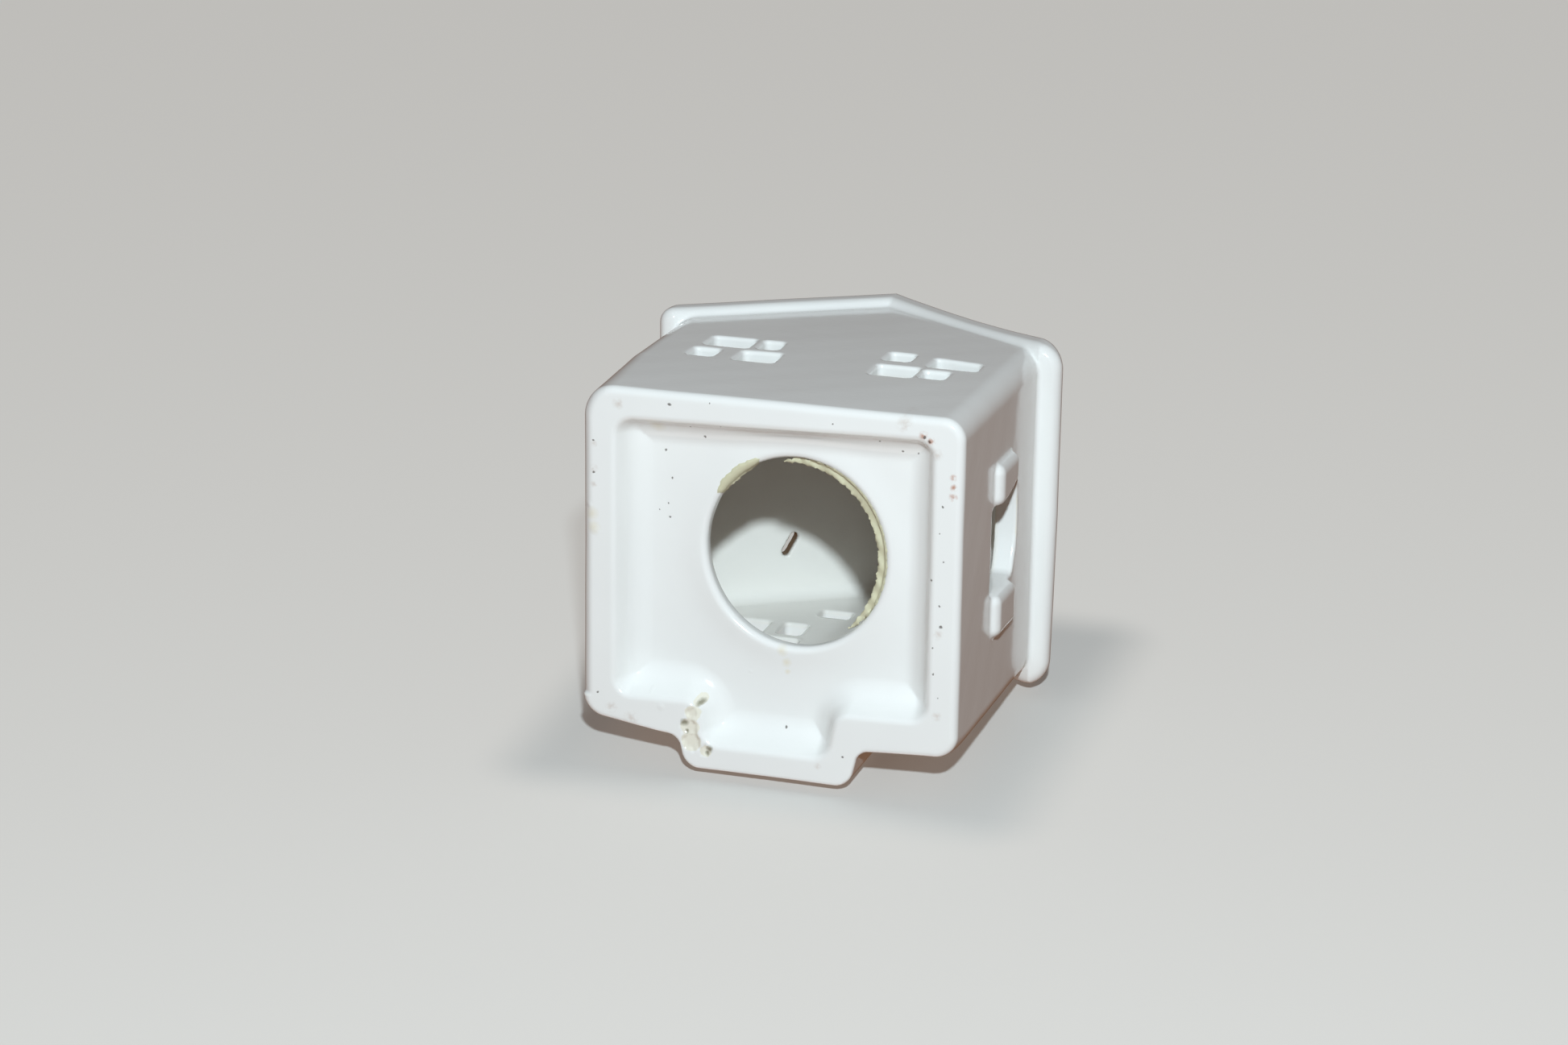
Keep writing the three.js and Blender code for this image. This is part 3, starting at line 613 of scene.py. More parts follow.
def skin(fields, low, high, step):
    """The edge of the space where all fields are below zero, on a grid: a point in each cell that it crosses,
    the fields that end the space there, four-sided faces between the points, and each face's field.
    """
    axes = [np.arange(a, b + step, step) for a, b in zip(low, high)]
    grid = (axes[0][:, None, None], axes[1][None, :, None], axes[2][None, None, :])
    shape = [len(a) for a in axes]
    values = np.stack([np.broadcast_to(field(*grid), shape) for field in fields])
    inside = values.max(axis=0) < 0
    part_touching(values, inside)
    places, owners, cells = [], [], []
    for axis in range(3):
        along, u, v = np.roll(np.eye(3, dtype=int), -axis, axis=0)
        near, far = [slice(1, -1)] * 3, [slice(1, -1)] * 3
        near[axis], far[axis] = slice(0, -1), slice(1, None)
        start = np.argwhere(inside[tuple(near)] != inside[tuple(far)]) + u + v
        leaving = inside[tuple(start.T)]
        first = values[(slice(None), *start.T)]
        last = values[(slice(None), *(start + along).T)]
        inner = np.where(leaving, first, last)
        outer = np.where(leaving, last, first)
        share = np.where(outer >= 0, inner / np.where(outer >= 0, inner - outer, 1), 2)
        way = share.min(axis=0)
        places.append(start + along * np.where(leaving, way, 1 - way)[:, None])
        owners.append(share.argmin(axis=0))
        around = np.stack([start, start - u, start - u - v, start - v], axis=1)
        around[~leaving] = around[~leaving][:, ::-1]
        cells.append(np.ravel_multi_index(np.moveaxis(around, 2, 0), shape))
    cell, faces = np.unique(np.concatenate(cells), return_inverse=True)
    faces = faces.reshape(-1, 4)
    place = np.repeat(np.concatenate(places), 4, axis=0)
    owner = np.concatenate(owners)
    crossings = np.bincount(faces.ravel(), minlength=len(cell))
    points = np.stack([np.bincount(faces.ravel(), weights=place[:, i]) for i in range(3)], axis=1)
    points = np.array(low) + step * points / crossings[:, None]
    corner_owner = np.repeat(owner, 4)
    held = [np.bincount(faces.ravel(), weights=corner_owner == k) > 0 for k in range(len(fields))]
    return points, np.stack(held, axis=1), faces, owner


def lean_of(field, points, reach=0.01):
    """A field's value at each point, and the direction in which it grows."""
    value = field(*points.T)
    grow = np.empty_like(points)
    for axis in range(3):
        shift = np.zeros(3)
        shift[axis] = reach
        grow[:, axis] = (field(*(points + shift).T) - value) / reach
    return value, grow


def settle(fields, held, points, step):
    """Moves each grid point onto every surface that its cell holds, by the shortest way."""
    for _ in range(SETTLE_ROUNDS):
        gap = np.zeros(held.shape)
        lean = np.zeros((*held.shape, 3))
        for k, field in enumerate(fields):
            mine = held[:, k]
            if mine.any():
                gap[mine, k], lean[mine, k] = lean_of(field, points[mine])
        square = lean @ lean.transpose(0, 2, 1) + SETTLE_DAMPING * np.eye(len(fields))
        pull = np.linalg.solve(square, gap[..., None])
        points -= np.clip((lean * pull).sum(axis=1), -step, step)
    return points


def bend_of(distance, points):
    """Which way the form's surface faces at each point, and how sharply it bends there."""
    grow = np.empty_like(points)
    # Along each of the three axes the middle counts twice against the points before and after it
    bend = -6 * distance(*points.T)
    for axis in range(3):
        shift = np.zeros(3)
        shift[axis] = BEND_REACH
        before = distance(*(points - shift).T)
        after = distance(*(points + shift).T)
        grow[:, axis] = after - before
        bend += before + after
    facing = grow / np.maximum(np.linalg.norm(grow, axis=1), TINY)[:, None]
    return facing, bend / BEND_REACH**2


def mark(mesh, name, values):
    """Keeps a value at each point, for the materials."""
    mesh.attributes.new(name, "FLOAT", "POINT").data.foreach_set("value", values.astype(np.float32))


def surface_mesh(name, distance, cuts, low, high, step):
    """A closed mesh of the form within its cuts, with the form's own normals. It is marked where the form
    bends, where it is the inside of the house, and where the vent slit is painted dark as shade.
    """
    fields = [distance, *cuts]
    points, held, faces, owner = skin(fields, low, high, step)
    points = settle(fields, held, points, step)
    mesh = bpy.data.meshes.new(name)
    mesh.from_pydata(points, [], faces)
    facing, bend = bend_of(distance, points)
    mark(mesh, "arris", np.clip(bend, -BEND_LIMIT, BEND_LIMIT))
    casting = Casting(bpy.context.scene.house_sizes)
    inside = np.abs(casting.room(*points.T))
    mark(mesh, "hollow", np.clip(HOLLOW_REACH - inside, 0, 1))
    # Where the dark brown painted shade lies on the vent slit's sides, fading towards the room
    slit_shade_cover = np.clip((SLIT_SHADE_REACH - np.abs(casting.vent(*points.T))) / SLIT_SHADE_FEATHER, 0, 1)
    mark(mesh, "painted_slit_shade", slit_shade_cover * np.clip(inside * SLIT_SHADE_FADE - SLIT_SHADE_CLEAR, 0, 1))
    flat = np.empty(len(faces) * 3)
    mesh.polygons.foreach_get("normal", flat)
    flat = np.repeat(flat.reshape(-1, 3), 4, axis=0)
    on_cut = np.repeat(owner > 0, 4)[:, None]
    mesh.polygons.foreach_set("use_smooth", np.ones(len(faces), bool))
    mesh.normals_split_custom_set(np.where(on_cut, flat, facing[faces.ravel()]))
    mesh.transform(Matrix.Scale(MM, 4))
    return mesh


def house_piece(name, mesh, nodes, material):
    """A piece of the house in place of frame nodes."""
    mesh.materials.append(material)
    piece = bpy.data.objects.new(name, mesh)
    bpy.context.scene.collection.objects.link(piece)
    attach(piece, BODY)
    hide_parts(*nodes)
    return piece


def cast_piece(name, nodes, material, low, high, step, cuts):
    """One piece of the casting within its cuts, in place of frame nodes."""
    casting = Casting(bpy.context.scene.house_sizes)
    mesh = surface_mesh(name, casting.distance, cuts, low, high, step)
    return house_piece(name, mesh, nodes, material)


# The two films of dried adhesive: frame node, where they start and end round the light hole in degrees, their
# inner and outer edge in millimetres outside the hole, and their thickness
ADHESIVE_FILMS = [
    ("adhesive_arc", 82.0, 232.0, -1.9, 0.5, 0.3),
    ("adhesive_flake", 33.0, 68.0, -0.6, 1.9, 0.3),
]

# A film thins over this width to its torn edge, sinks into the glaze by its root, and ends in the hole at its
# top, which waves
FILM_FEATHER = 0.5
FILM_ROOT = 0.15
FILM_TOP = 2.2
FILM_TOP_WAVE = 0.2
FILM_THINNEST = 0.03

# How raggedly a film is torn along its sides: how far, how often round the hole and from which start. Its
# ends are torn too, and it narrows towards them.
TEARS = [(0.1, 31, 0), (0.08, 73, 1), (0.04, 140, 2)]
END_TEAR = 0.6
FILM_TAPER = 0.35

# The skirt of a film that hangs in from the hole's edge: how high it hangs and waves, half its thickness, how
# far it starts outside the hole, and the hollow round at its root
SKIRT_HEIGHT = 0.9
SKIRT_WAVE = 0.2
SKIRT_HALF = 0.04
SKIRT_ROOT = 0.6
SKIRT_ROUND = 0.15

# How far the grid of a film reaches past its edges, past its ends in degrees, and below and above the
# underside of the floor
FILM_MARGIN = 1.5
FILM_MARGIN_TURN = 4.0
FILM_GRID_LOW = 2.2
FILM_GRID_HIGH = 2.8

# Marks on the foot's underside, each by X, Y and radius in millimetres
SPECKS = [
    (21.9, 38.2, 0.45), (39.0, 28.7, 0.3), (39.0, 21.7, 0.35), (25.0, 26.3, 0.35), (15.9, 30.3, 0.4),
    (18.4, 32.7, 0.25), (23.4, 20.2, 0.3), (24.3, 14.4, 0.25), (26.3, 12.9, 0.2), (23.9, 11.4, 0.3),
    (-27.7, 31.4, 0.3), (-23.2, 33.7, 0.3), (-31.0, 31.2, 0.25), (-36.0, 5.7, 0.3), (-38.2, 22.0, 0.3),
    (-38.0, 0.2, 0.25), (-38.4, -4.3, 0.4), (-37.0, -14.8, 0.3), (-17.5, -35.8, 0.35), (-3.0, -32.8, 0.35),
    (38.0, -27.8, 0.35), (-33.9, 36.6, 0.5), (-34.9, 35.7, 0.4), (11.0, 34.0, 0.2), (-14.0, 37.5, 0.25),
    (-37.6, 16.0, 0.2), (-38.6, 10.0, 0.25), (-36.8, -9.0, 0.25), (-38.2, -20.0, 0.2), (13.0, 39.2, 0.2),
]
RUST_STAINS = [
    (-33.7, 36.8, 1.3), (-35.3, 35.8, 1.1), (-40.2, 28.4, 0.9), (-40.4, 26.2, 1.0), (-40.3, 24.4, 1.1),
]
BROWN_STAINS = [
    (33.5, 37.3, 1.6), (39.0, 22.5, 1.1), (38.9, 28.0, 0.9), (39.0, 19.0, 1.0), (-29.5, 39.0, 2.2),
    (-36.5, 33.0, 1.6), (-37.8, -6.0, 1.4), (-38.0, -24.0, 1.3), (30.5, -33.0, 2.0), (35.0, -31.0, 1.6),
    (-12.0, -38.8, 1.0),
]
YELLOW_STAINS = [
    (39.4, 12.4, 1.9), (39.0, 9.4, 1.8), (-1.8, -15.6, 1.5), (-2.8, -18.2, 1.3), (-3.0, -20.4, 0.8),
    (26.0, 32.5, 2.2),
]
CHIP_DIRT = [
    (18.1, -32.5, 1.1), (15.1, -28.1, 0.9), (12.4, -37.9, 1.0), (12.9, -38.9, 0.7), (17.6, -34.4, 0.6),
]
BLISTERS = [(40.0, 14.2, 0.9), (38.6, 8.8, 1.3), (23.5, -29.5, 1.0), (26.3, -26.5, 0.7), (5.4, -21.3, 0.6)]

# How high the blisters stand beside the glaze's ripple, how flat they are, and how far a stain's edge strays
BLISTER_RISE = 6.0
BLISTER_SOFT = 0.95
RAGGED = 0.8

# Stains lie on the underside only, and end between these heights
STAIN_HEIGHTS = (8.0, 7.0)

# The glaze: the size of its faint clouds and how much darker they are, from which bend on it runs thin, the
# size and rise of its ripple, and how smooth it fired
CLOUD_SIZE = 22.0
CLOUD_TONE = 0.95
THIN_BENDS = (1.6, 2.4)
RIPPLE_SIZE = 3.0
RIPPLE_RISE = 0.2
RIPPLE_STRENGTH = 0.12
GLAZE_ROUGHNESS = 0.12
GLAZE_IOR = 1.52

# The size of the ragged edges of stains, and where a stain is broken up by them
RAGGED_SIZE = 1.3
BROKEN = (0.38, 0.62)

# The adhesive: the size of its streaks, their depth and tone, and how clear and shiny it dried
STREAK_SIZE = 2.0
STREAK_RISE = 0.3
STREAK_STRENGTH = 0.4
STREAK_TONE = 0.6
ADHESIVE_COVER = 0.7
ADHESIVE_ROUGHNESS = 0.25
ADHESIVE_IOR = 1.47


def add_node(tree, kind, settings=None, **inputs):
    """Adds a shader node with its settings and inputs, each input by its name or as i and its number."""
    node = tree.nodes.new(kind)
    for name, value in (settings or {}).items():
        setattr(node, name, value)
    for name, value in inputs.items():
        numbered = name[0] == "i" and name[1:].isdigit()
        socket = node.inputs[int(name[1:]) if numbered else name.replace("_", " ")]
        if isinstance(value, bpy.types.NodeSocket):
            tree.links.new(value, socket)
        else:
            socket.default_value = value
    return node


def new_material(name):
    """An empty material and its nodes."""
    material = bpy.data.materials.new(name)
    material.use_nodes = True
    material.node_tree.nodes.clear()
    return material, material.node_tree


def glaze(tree, place):
    """The glaze's colour, with warm bounce light painted inside the room and shade painted in the vent slit,
    and its ripple as a height.
    """
    colours = bpy.context.scene.house_colours
    cloud = add_node(tree, "ShaderNodeTexNoise", Vector=place, Scale=1 / (CLOUD_SIZE * MM), Detail=3.0)
    marks = {}
    for name in ("arris", "hollow", "painted_slit_shade"):
        marks[name] = add_node(tree, "ShaderNodeAttribute", {"attribute_name": name}).outputs["Fac"]
    thin = add_node(
        tree, "ShaderNodeMapRange", Value=marks["arris"], From_Min=THIN_BENDS[0], From_Max=THIN_BENDS[1]
    )
    tone = (*colours.glaze, 1)
    for cover, code, blend in (
        (cloud.outputs["Fac"], [c * CLOUD_TONE for c in colours.glaze], "MIX"),
        (thin.outputs["Result"], colours.thin_glaze, "MIX"),
        # The room's inside, tinted warm as painted bounce light from a wooden table
        (marks["hollow"], colours.painted_inner_bounce, "MULTIPLY"),
        # The vent slit's sides, painted dark brown as shade
        (marks["painted_slit_shade"], colours.painted_slit_shade, "MIX"),
    ):
        settings = {"data_type": "RGBA", "blend_type": blend}
        tone = add_node(tree, "ShaderNodeMix", settings, Factor=cover, i6=tone, i7=(*code, 1)).outputs[2]
    ripple = add_node(tree, "ShaderNodeTexNoise", Vector=place, Scale=1 / (RIPPLE_SIZE * MM), Detail=2.0)
    return tone, ripple.outputs["Fac"]


def fire(tree, tone, height):
    """The fired surface of the glaze: nearly smooth, its highlights softly broken by the ripple."""
    bump = add_node(
        tree, "ShaderNodeBump", Height=height, Strength=RIPPLE_STRENGTH, Distance=RIPPLE_RISE * MM
    )
    surface = add_node(
        tree, "ShaderNodeBsdfPrincipled", Base_Color=tone, Roughness=GLAZE_ROUGHNESS, IOR=GLAZE_IOR,
        Normal=bump.outputs["Normal"],
    )
    add_node(tree, "ShaderNodeOutputMaterial", Surface=surface.outputs["BSDF"])


def glazed_earthenware():
    """Slip-cast earthenware under a white glaze that was poured on and fired: glossy, softly uneven, with
    small sharp highlights, and cream where the glaze ran thin over a cut edge. Inside the room a warm
    tint is painted for the light that comes back from a wooden table, and the vent slit is painted dark
    as shade.
    """
    known = bpy.data.materials.get("glazed_earthenware")
    if known:
        return known
    material, tree = new_material("glazed_earthenware")
    place = add_node(tree, "ShaderNodeTexCoord").outputs["Object"]
    fire(tree, *glaze(tree, place))
    return material


def spots(tree, place, entries, softness):
    """How far each point lies on one of the spots, each given by its X, Y and radius in millimetres."""
    cover = 0.0
    for x, y, radius in entries:
        middle = (x * MM, y * MM, 0)
        away = add_node(tree, "ShaderNodeVectorMath", {"operation": "DISTANCE"}, i0=place, i1=middle)
        near = add_node(
            tree, "ShaderNodeMapRange", Value=away.outputs["Value"], From_Min=radius * MM,
            From_Max=radius * (1 - softness) * MM,
        )
        larger = {"operation": "MAXIMUM"}
        cover = add_node(tree, "ShaderNodeMath", larger, i0=near.outputs["Result"], i1=cover).outputs[0]
    return cover


def marked_foot_glaze():
    """The same glaze on the foot, fired standing in dust and handled since: iron specks, rusty and yellow
    stains, small blisters, and a chip that shows the cream clay with dirt in its hollows.
    """
    colours = bpy.context.scene.house_colours
    material, tree = new_material("marked_foot_glaze")
    place = add_node(tree, "ShaderNodeTexCoord").outputs["Object"]
    tone, height = glaze(tree, place)
    times = {"operation": "MULTIPLY"}
    flat = add_node(tree, "ShaderNodeVectorMath", times, i0=place, i1=(1, 1, 0)).outputs[0]
    ragged = add_node(tree, "ShaderNodeTexNoise", Vector=place, Scale=1 / (RAGGED_SIZE * MM), Detail=4.0)
    astray = add_node(
        tree, "ShaderNodeVectorMath", {"operation": "SUBTRACT"}, i0=ragged.outputs["Color"],
        i1=(0.5, 0.5, 0.5),
    ).outputs[0]
    torn = add_node(
        tree, "ShaderNodeVectorMath", {"operation": "MULTIPLY_ADD"}, i0=astray,
        i1=(RAGGED * MM, RAGGED * MM, 0), i2=flat,
    ).outputs[0]
    above = add_node(tree, "ShaderNodeSeparateXYZ", Vector=place).outputs["Z"]
    under = add_node(
        tree, "ShaderNodeMapRange", Value=above, From_Min=STAIN_HEIGHTS[0] * MM,
        From_Max=STAIN_HEIGHTS[1] * MM,
    ).outputs["Result"]
    broken = add_node(
        tree, "ShaderNodeMapRange", Value=ragged.outputs["Fac"], From_Min=BROKEN[0], From_Max=BROKEN[1]
    ).outputs["Result"]
    # Each kind of mark with its colour, how soft its edges are, and what its cover is multiplied by
    layers = (
        (YELLOW_STAINS, colours.yellow_stain, 0.9, [0.5]),
        (BROWN_STAINS, colours.brown_stain, 0.9, [broken, 0.45]),
        (RUST_STAINS, colours.rust, 0.7, [broken, 0.85]),
        (CHIP, colours.clay, 0.12, [1.0]),
        (CHIP_DIRT, colours.chip_dirt, 0.7, [0.8]),
        (SPECKS, colours.speck, 0.5, [0.8]),
    )
    for entries, code, softness, shares in layers:
        cover = spots(tree, torn, entries, softness)
        for share in [under, *shares]:
            cover = add_node(tree, "ShaderNodeMath", times, i0=cover, i1=share).outputs[0]
        mixed = add_node(tree, "ShaderNodeMix", {"data_type": "RGBA"}, Factor=cover, i6=tone, i7=(*code, 1))
        tone = mixed.outputs[2]
    blisters = spots(tree, flat, BLISTERS, BLISTER_SOFT)
    raised = add_node(
        tree, "ShaderNodeMath", {"operation": "MULTIPLY_ADD"}, i0=blisters, i1=BLISTER_RISE, i2=height
    )
    fire(tree, tone, raised.outputs[0])
    return material


def dried_adhesive():
    """Adhesive that dried as a film and yellowed: half clear and olive, streaked where it was pulled, and
    softly shiny.
    """
    known = bpy.data.materials.get("dried_adhesive")
    if known:
        return known
    adhesive = bpy.context.scene.house_colours.adhesive
    material, tree = new_material("dried_adhesive")
    place = add_node(tree, "ShaderNodeTexCoord").outputs["Object"]
    streak = add_node(tree, "ShaderNodeTexNoise", Vector=place, Scale=1 / (STREAK_SIZE * MM), Detail=4.0)
    tone = add_node(
        tree, "ShaderNodeMix", {"data_type": "RGBA"}, Factor=streak.outputs["Fac"], i6=(*adhesive, 1),
        i7=(*[c * STREAK_TONE for c in adhesive], 1),
    ).outputs[2]
    bump = add_node(
        tree, "ShaderNodeBump", Height=streak.outputs["Fac"], Strength=STREAK_STRENGTH,
        Distance=STREAK_RISE * MM,
    )
    surface = add_node(
        tree, "ShaderNodeBsdfPrincipled", Base_Color=tone, Roughness=ADHESIVE_ROUGHNESS, IOR=ADHESIVE_IOR,
        Alpha=ADHESIVE_COVER, Normal=bump.outputs["Normal"],
    )
    add_node(tree, "ShaderNodeOutputMaterial", Surface=surface.outputs["BSDF"])
    return material


def film_fields(casting, start, end, inner, outer, thick):
    """A film of adhesive as three fields: its own surface, the glaze under it, and its torn outline."""
    middle = math.radians((start + end) / 2)
    half = math.radians((end - start) / 2)

    # The waves in these fields differ in length, so that no two edges run alike
    def outline(x, y, z):
        angle = np.arctan2(y - casting.hole[1], x - casting.hole[0]) - middle
        angle = np.mod(angle + np.pi, 2 * np.pi) - np.pi
        away = casting.from_hole(x, y)
        ends = (np.abs(angle) - half) * casting.hole_half[0] + END_TEAR * np.sin(away * 4 + z * 2)
        torn = sum(far * np.sin(angle * often + begin) for far, often, begin in TEARS)
        taper = (outer - inner) * FILM_TAPER * (np.abs(angle) / half) ** 3
        across = np.abs(away - (inner + outer) / 2 - torn) - (outer - inner) / 2 + taper
        top = z - casting.under_floor - FILM_TOP - FILM_TOP_WAVE * np.sin(angle * 19)
        return np.maximum(np.maximum(across, ends), top)

    def surface(x, y, z):
        cover = thick * np.sqrt(np.clip(-outline(x, y, z) / FILM_FEATHER, 0, 1))
        on_glaze = casting.distance(x, y, z) - cover - FILM_THINNEST
        skirt_wave = SKIRT_WAVE * np.sin(x * 1.7) * np.sin(y * 1.3 + 1)
        skirt = np.abs(z - casting.under_floor - SKIRT_HEIGHT - skirt_wave) - SKIRT_HALF - cover / 2
        hanging = np.maximum(skirt, casting.from_hole(x, y) - SKIRT_ROOT)
        return round_union(on_glaze, hanging, SKIRT_ROUND)

    def glaze_under(x, y, z):
        return -casting.distance(x, y, z) - FILM_ROOT

    return surface, glaze_under, outline


class HOUSE_OT_adhesive(bpy.types.Operator):
    """Build the two films of dried adhesive round the light hole"""

    bl_idname = "house.adhesive"
    bl_label = "Dried adhesive"

    def execute(self, context):
        casting = Casting(context.scene.house_sizes)
        for node, start, end, inner, outer, thick in ADHESIVE_FILMS:
            surface, *cuts = film_fields(casting, start, end, inner, outer, thick)
            turns = np.radians(np.linspace(start - FILM_MARGIN_TURN, end + FILM_MARGIN_TURN, 60))
            reaches = np.array([[inner - FILM_MARGIN], [outer + FILM_MARGIN]])
            xs = casting.hole[0] + (casting.hole_half[0] + reaches) * np.cos(turns)
            ys = casting.hole[1] + (casting.hole_half[1] + reaches) * np.sin(turns)
            low = (xs.min(), ys.min(), casting.under_floor - FILM_GRID_LOW)
            high = (xs.max(), ys.max(), casting.under_floor + FILM_GRID_HIGH)
            name = f"dried_{node}"
            mesh = surface_mesh(name, surface, cuts, low, high, FILM_GRID)
            house_piece(name, mesh, [node], dried_adhesive())
        return {"FINISHED"}


class HOUSE_OT_foot(bpy.types.Operator):
    """Build the hollow foot with its floor and light hole"""

    bl_idname = "house.foot"
    bl_label = "Foot and floor"

    def execute(self, context):
        low, high = node_box("foot_ring")
        top = node_box("floor_panel")[1][2]
        cast_piece(
            "glazed_foot", ["foot_ring", "floor_panel"], marked_foot_glaze(),
            low - MARGIN, (high[0] + MARGIN, high[1] + MARGIN, top + MARGIN), FINE_GRID,
            [plane_field((0, 0, top), UP)],
        )
        return {"FINISHED"}


def roof_planes():
    """The two sloped planes between the walls and the roof, cleared upwards."""
    casting = Casting(bpy.context.scene.house_sizes)
    ridge = (0, 0, casting.eave + casting.side * casting.slope)
    pitch = math.atan(casting.slope)
    return [(ridge, np.array([hand * math.sin(pitch), 0, math.cos(pitch)])) for hand in (1, -1)]


def shutter_seam():
    """How far out the shutters are cut from their wall, clear of the hollow round at their foot."""
    return node_box("right_side_wall")[1][0] + SHUTTER_STAND


class HOUSE_OT_walls(bpy.types.Operator):
    """Build the four walls with their windows"""

    bl_idname = "house.walls"
    bl_label = "Walls"

    def execute(self, context):
        floor = node_box("floor_panel")[1][2]
        shared = [plane_field(*plane) for plane in [((0, 0, floor), DOWN), *roof_planes()]]
        front_low, front_high = node_box("front_gable_wall")
        rear_low, rear_high = node_box("rear_gable_wall")
        rear_seam, front_seam = rear_low[1], front_high[1]
        out = front_low[1] - PROUD
        cast_piece(
            "glazed_rear_gable", ["rear_gable_wall"], glazed_earthenware(),
            (rear_low[0] - MARGIN, rear_seam - MARGIN, floor - MARGIN), rear_high + MARGIN, GRID,
            shared + [plane_field((0, rear_seam, 0), FORWARD)],
        )
        cast_piece(
            "glazed_front_gable", ["front_gable_wall"], glazed_earthenware(),
            (front_low[0] - MARGIN, out - MARGIN, floor - MARGIN), front_high + MARGIN, GRID,
            shared + [plane_field((0, front_seam, 0), BACK), plane_field((0, out, 0), FORWARD)],
        )
        between = [plane_field((0, rear_seam, 0), BACK), plane_field((0, front_seam, 0), FORWARD)]
        for name, inward in (("left", RIGHT), ("right", LEFT)):
            low, high = node_box(f"{name}_side_wall")
            seam = plane_field((-inward[0] * shutter_seam(), 0, 0), [-c for c in inward])
            cast_piece(
                f"glazed_{name}_side", [f"{name}_side_wall"], glazed_earthenware(),
                (low[0] - REACH, front_seam - MARGIN, floor - MARGIN),
                (high[0] + REACH, rear_seam + MARGIN, high[2] + MARGIN), GRID,
                shared + between + [lambda x, y, z: np.minimum(seam(x, y, z), high[2] - REACH - z)],
            )
        return {"FINISHED"}


class HOUSE_OT_porch(bpy.types.Operator):
    """Build the porch with its hipped roof and pressed-in door"""

    bl_idname = "house.porch"
    bl_label = "Porch"

    def execute(self, context):
        floor = node_box("floor_panel")[1][2]
        low, high = node_box("porch")
        out = node_box("front_gable_wall")[0][1] - PROUD
        cast_piece(
            "glazed_porch", ["porch"], glazed_earthenware(),
            (low[0] - REACH, low[1] - MARGIN, floor - MARGIN),
            (high[0] + REACH, out + MARGIN, high[2] + 2 * MARGIN), GRID,
            [plane_field((0, 0, floor), DOWN), plane_field((0, out, 0), BACK)],
        )
        return {"FINISHED"}


class HOUSE_OT_roof(bpy.types.Operator):
    """Build the two slopes of the roof"""

    bl_idname = "house.roof"
    bl_label = "Roof"

    def execute(self, context):
        for name, away, (place, up) in zip(("right", "left"), (LEFT, RIGHT), roof_planes()):
            low, high = node_box(f"{name}_roof_slope")
            cast_piece(
                f"glazed_{name}_roof", [f"{name}_roof_slope"], glazed_earthenware(),
                low - 3 * MARGIN, high + MARGIN, GRID,
                [plane_field(place, -up), plane_field((0, 0, 0), away)],
            )
        return {"FINISHED"}


class HOUSE_OT_shutters(bpy.types.Operator):
    """Build the four raised shutters"""

    bl_idname = "house.shutters"
    bl_label = "Shutters"

    def execute(self, context):
        for side, inward in (("left", RIGHT), ("right", LEFT)):
            seam = plane_field((-inward[0] * shutter_seam(), 0, 0), inward)
            for end in ("front", "rear"):
                node = f"{side}_{end}_shutter"
                low, high = node_box(node)
                cast_piece(
                    f"glazed_{node}", [node], glazed_earthenware(),
                    low - MARGIN, high + MARGIN, SHUTTER_GRID, [seam],
                )
        return {"FINISHED"}


# The camera, in millimetres in the frame, with its right, up and forward directions
CAMERA_PLACE = (-239.6, 253.7, -744.2)
CAMERA_RIGHT = (-0.9519, 0.0140, 0.3062)
CAMERA_UP = (0.1023, 0.9562, 0.2743)
CAMERA_FORWARD = (0.2889, -0.2924, 0.9116)
CAMERA_NEAREST = 50.0
SENSOR_WIDTH = 36.0
PHOTO_WIDTH = 1946
FOCAL_PIXELS = 4820

# The lamps, in metres and watts. The flash stands over the camera and a little to its right, and a large soft
# lamp lights the front from under the table.
FLASH_UP = 0.15
FLASH_RIGHT = 0.02
FLASH_SIZE = 0.03
FLASH_POWER = 7.3
FLASH_TINT = (0.81, 0.93, 1.0)
FLASH_TARGET = (0, 0, 0.04)
SOFTBOX_PLACE = (0.25, -1.1, -0.2)
SOFTBOX_SIZE = 0.8
SOFTBOX_POWER = 2.2
SOFTBOX_TARGET = (0, 0, 0.05)

# How strong the light of the room is, and over which directions it turns into the table's, where 1 is
# straight from the table
ROOM_STRENGTH = 0.35
TABLEWARD = (-0.5, 0.4)

# The pale planes reach this far, a little off the house: the floor, and the table under the lying house with
# its rise towards the roof
STAGE_REACH = 4.0
FLOOR_GAP = 0.0002
TABLE_GAP = 0.0001
TABLE_RISE = 0.078

# How much of the pale planes' brightness is even, under the house and away from it. The rest takes the lamps
# and the shadows. Less of it is even near the house, which paints a soft contact shadow there.
CONTACT_SHADOW_SHARE = 0.05
CONTACT_SHADOW_REACH = 0.02
EVEN_SHARE = 0.6


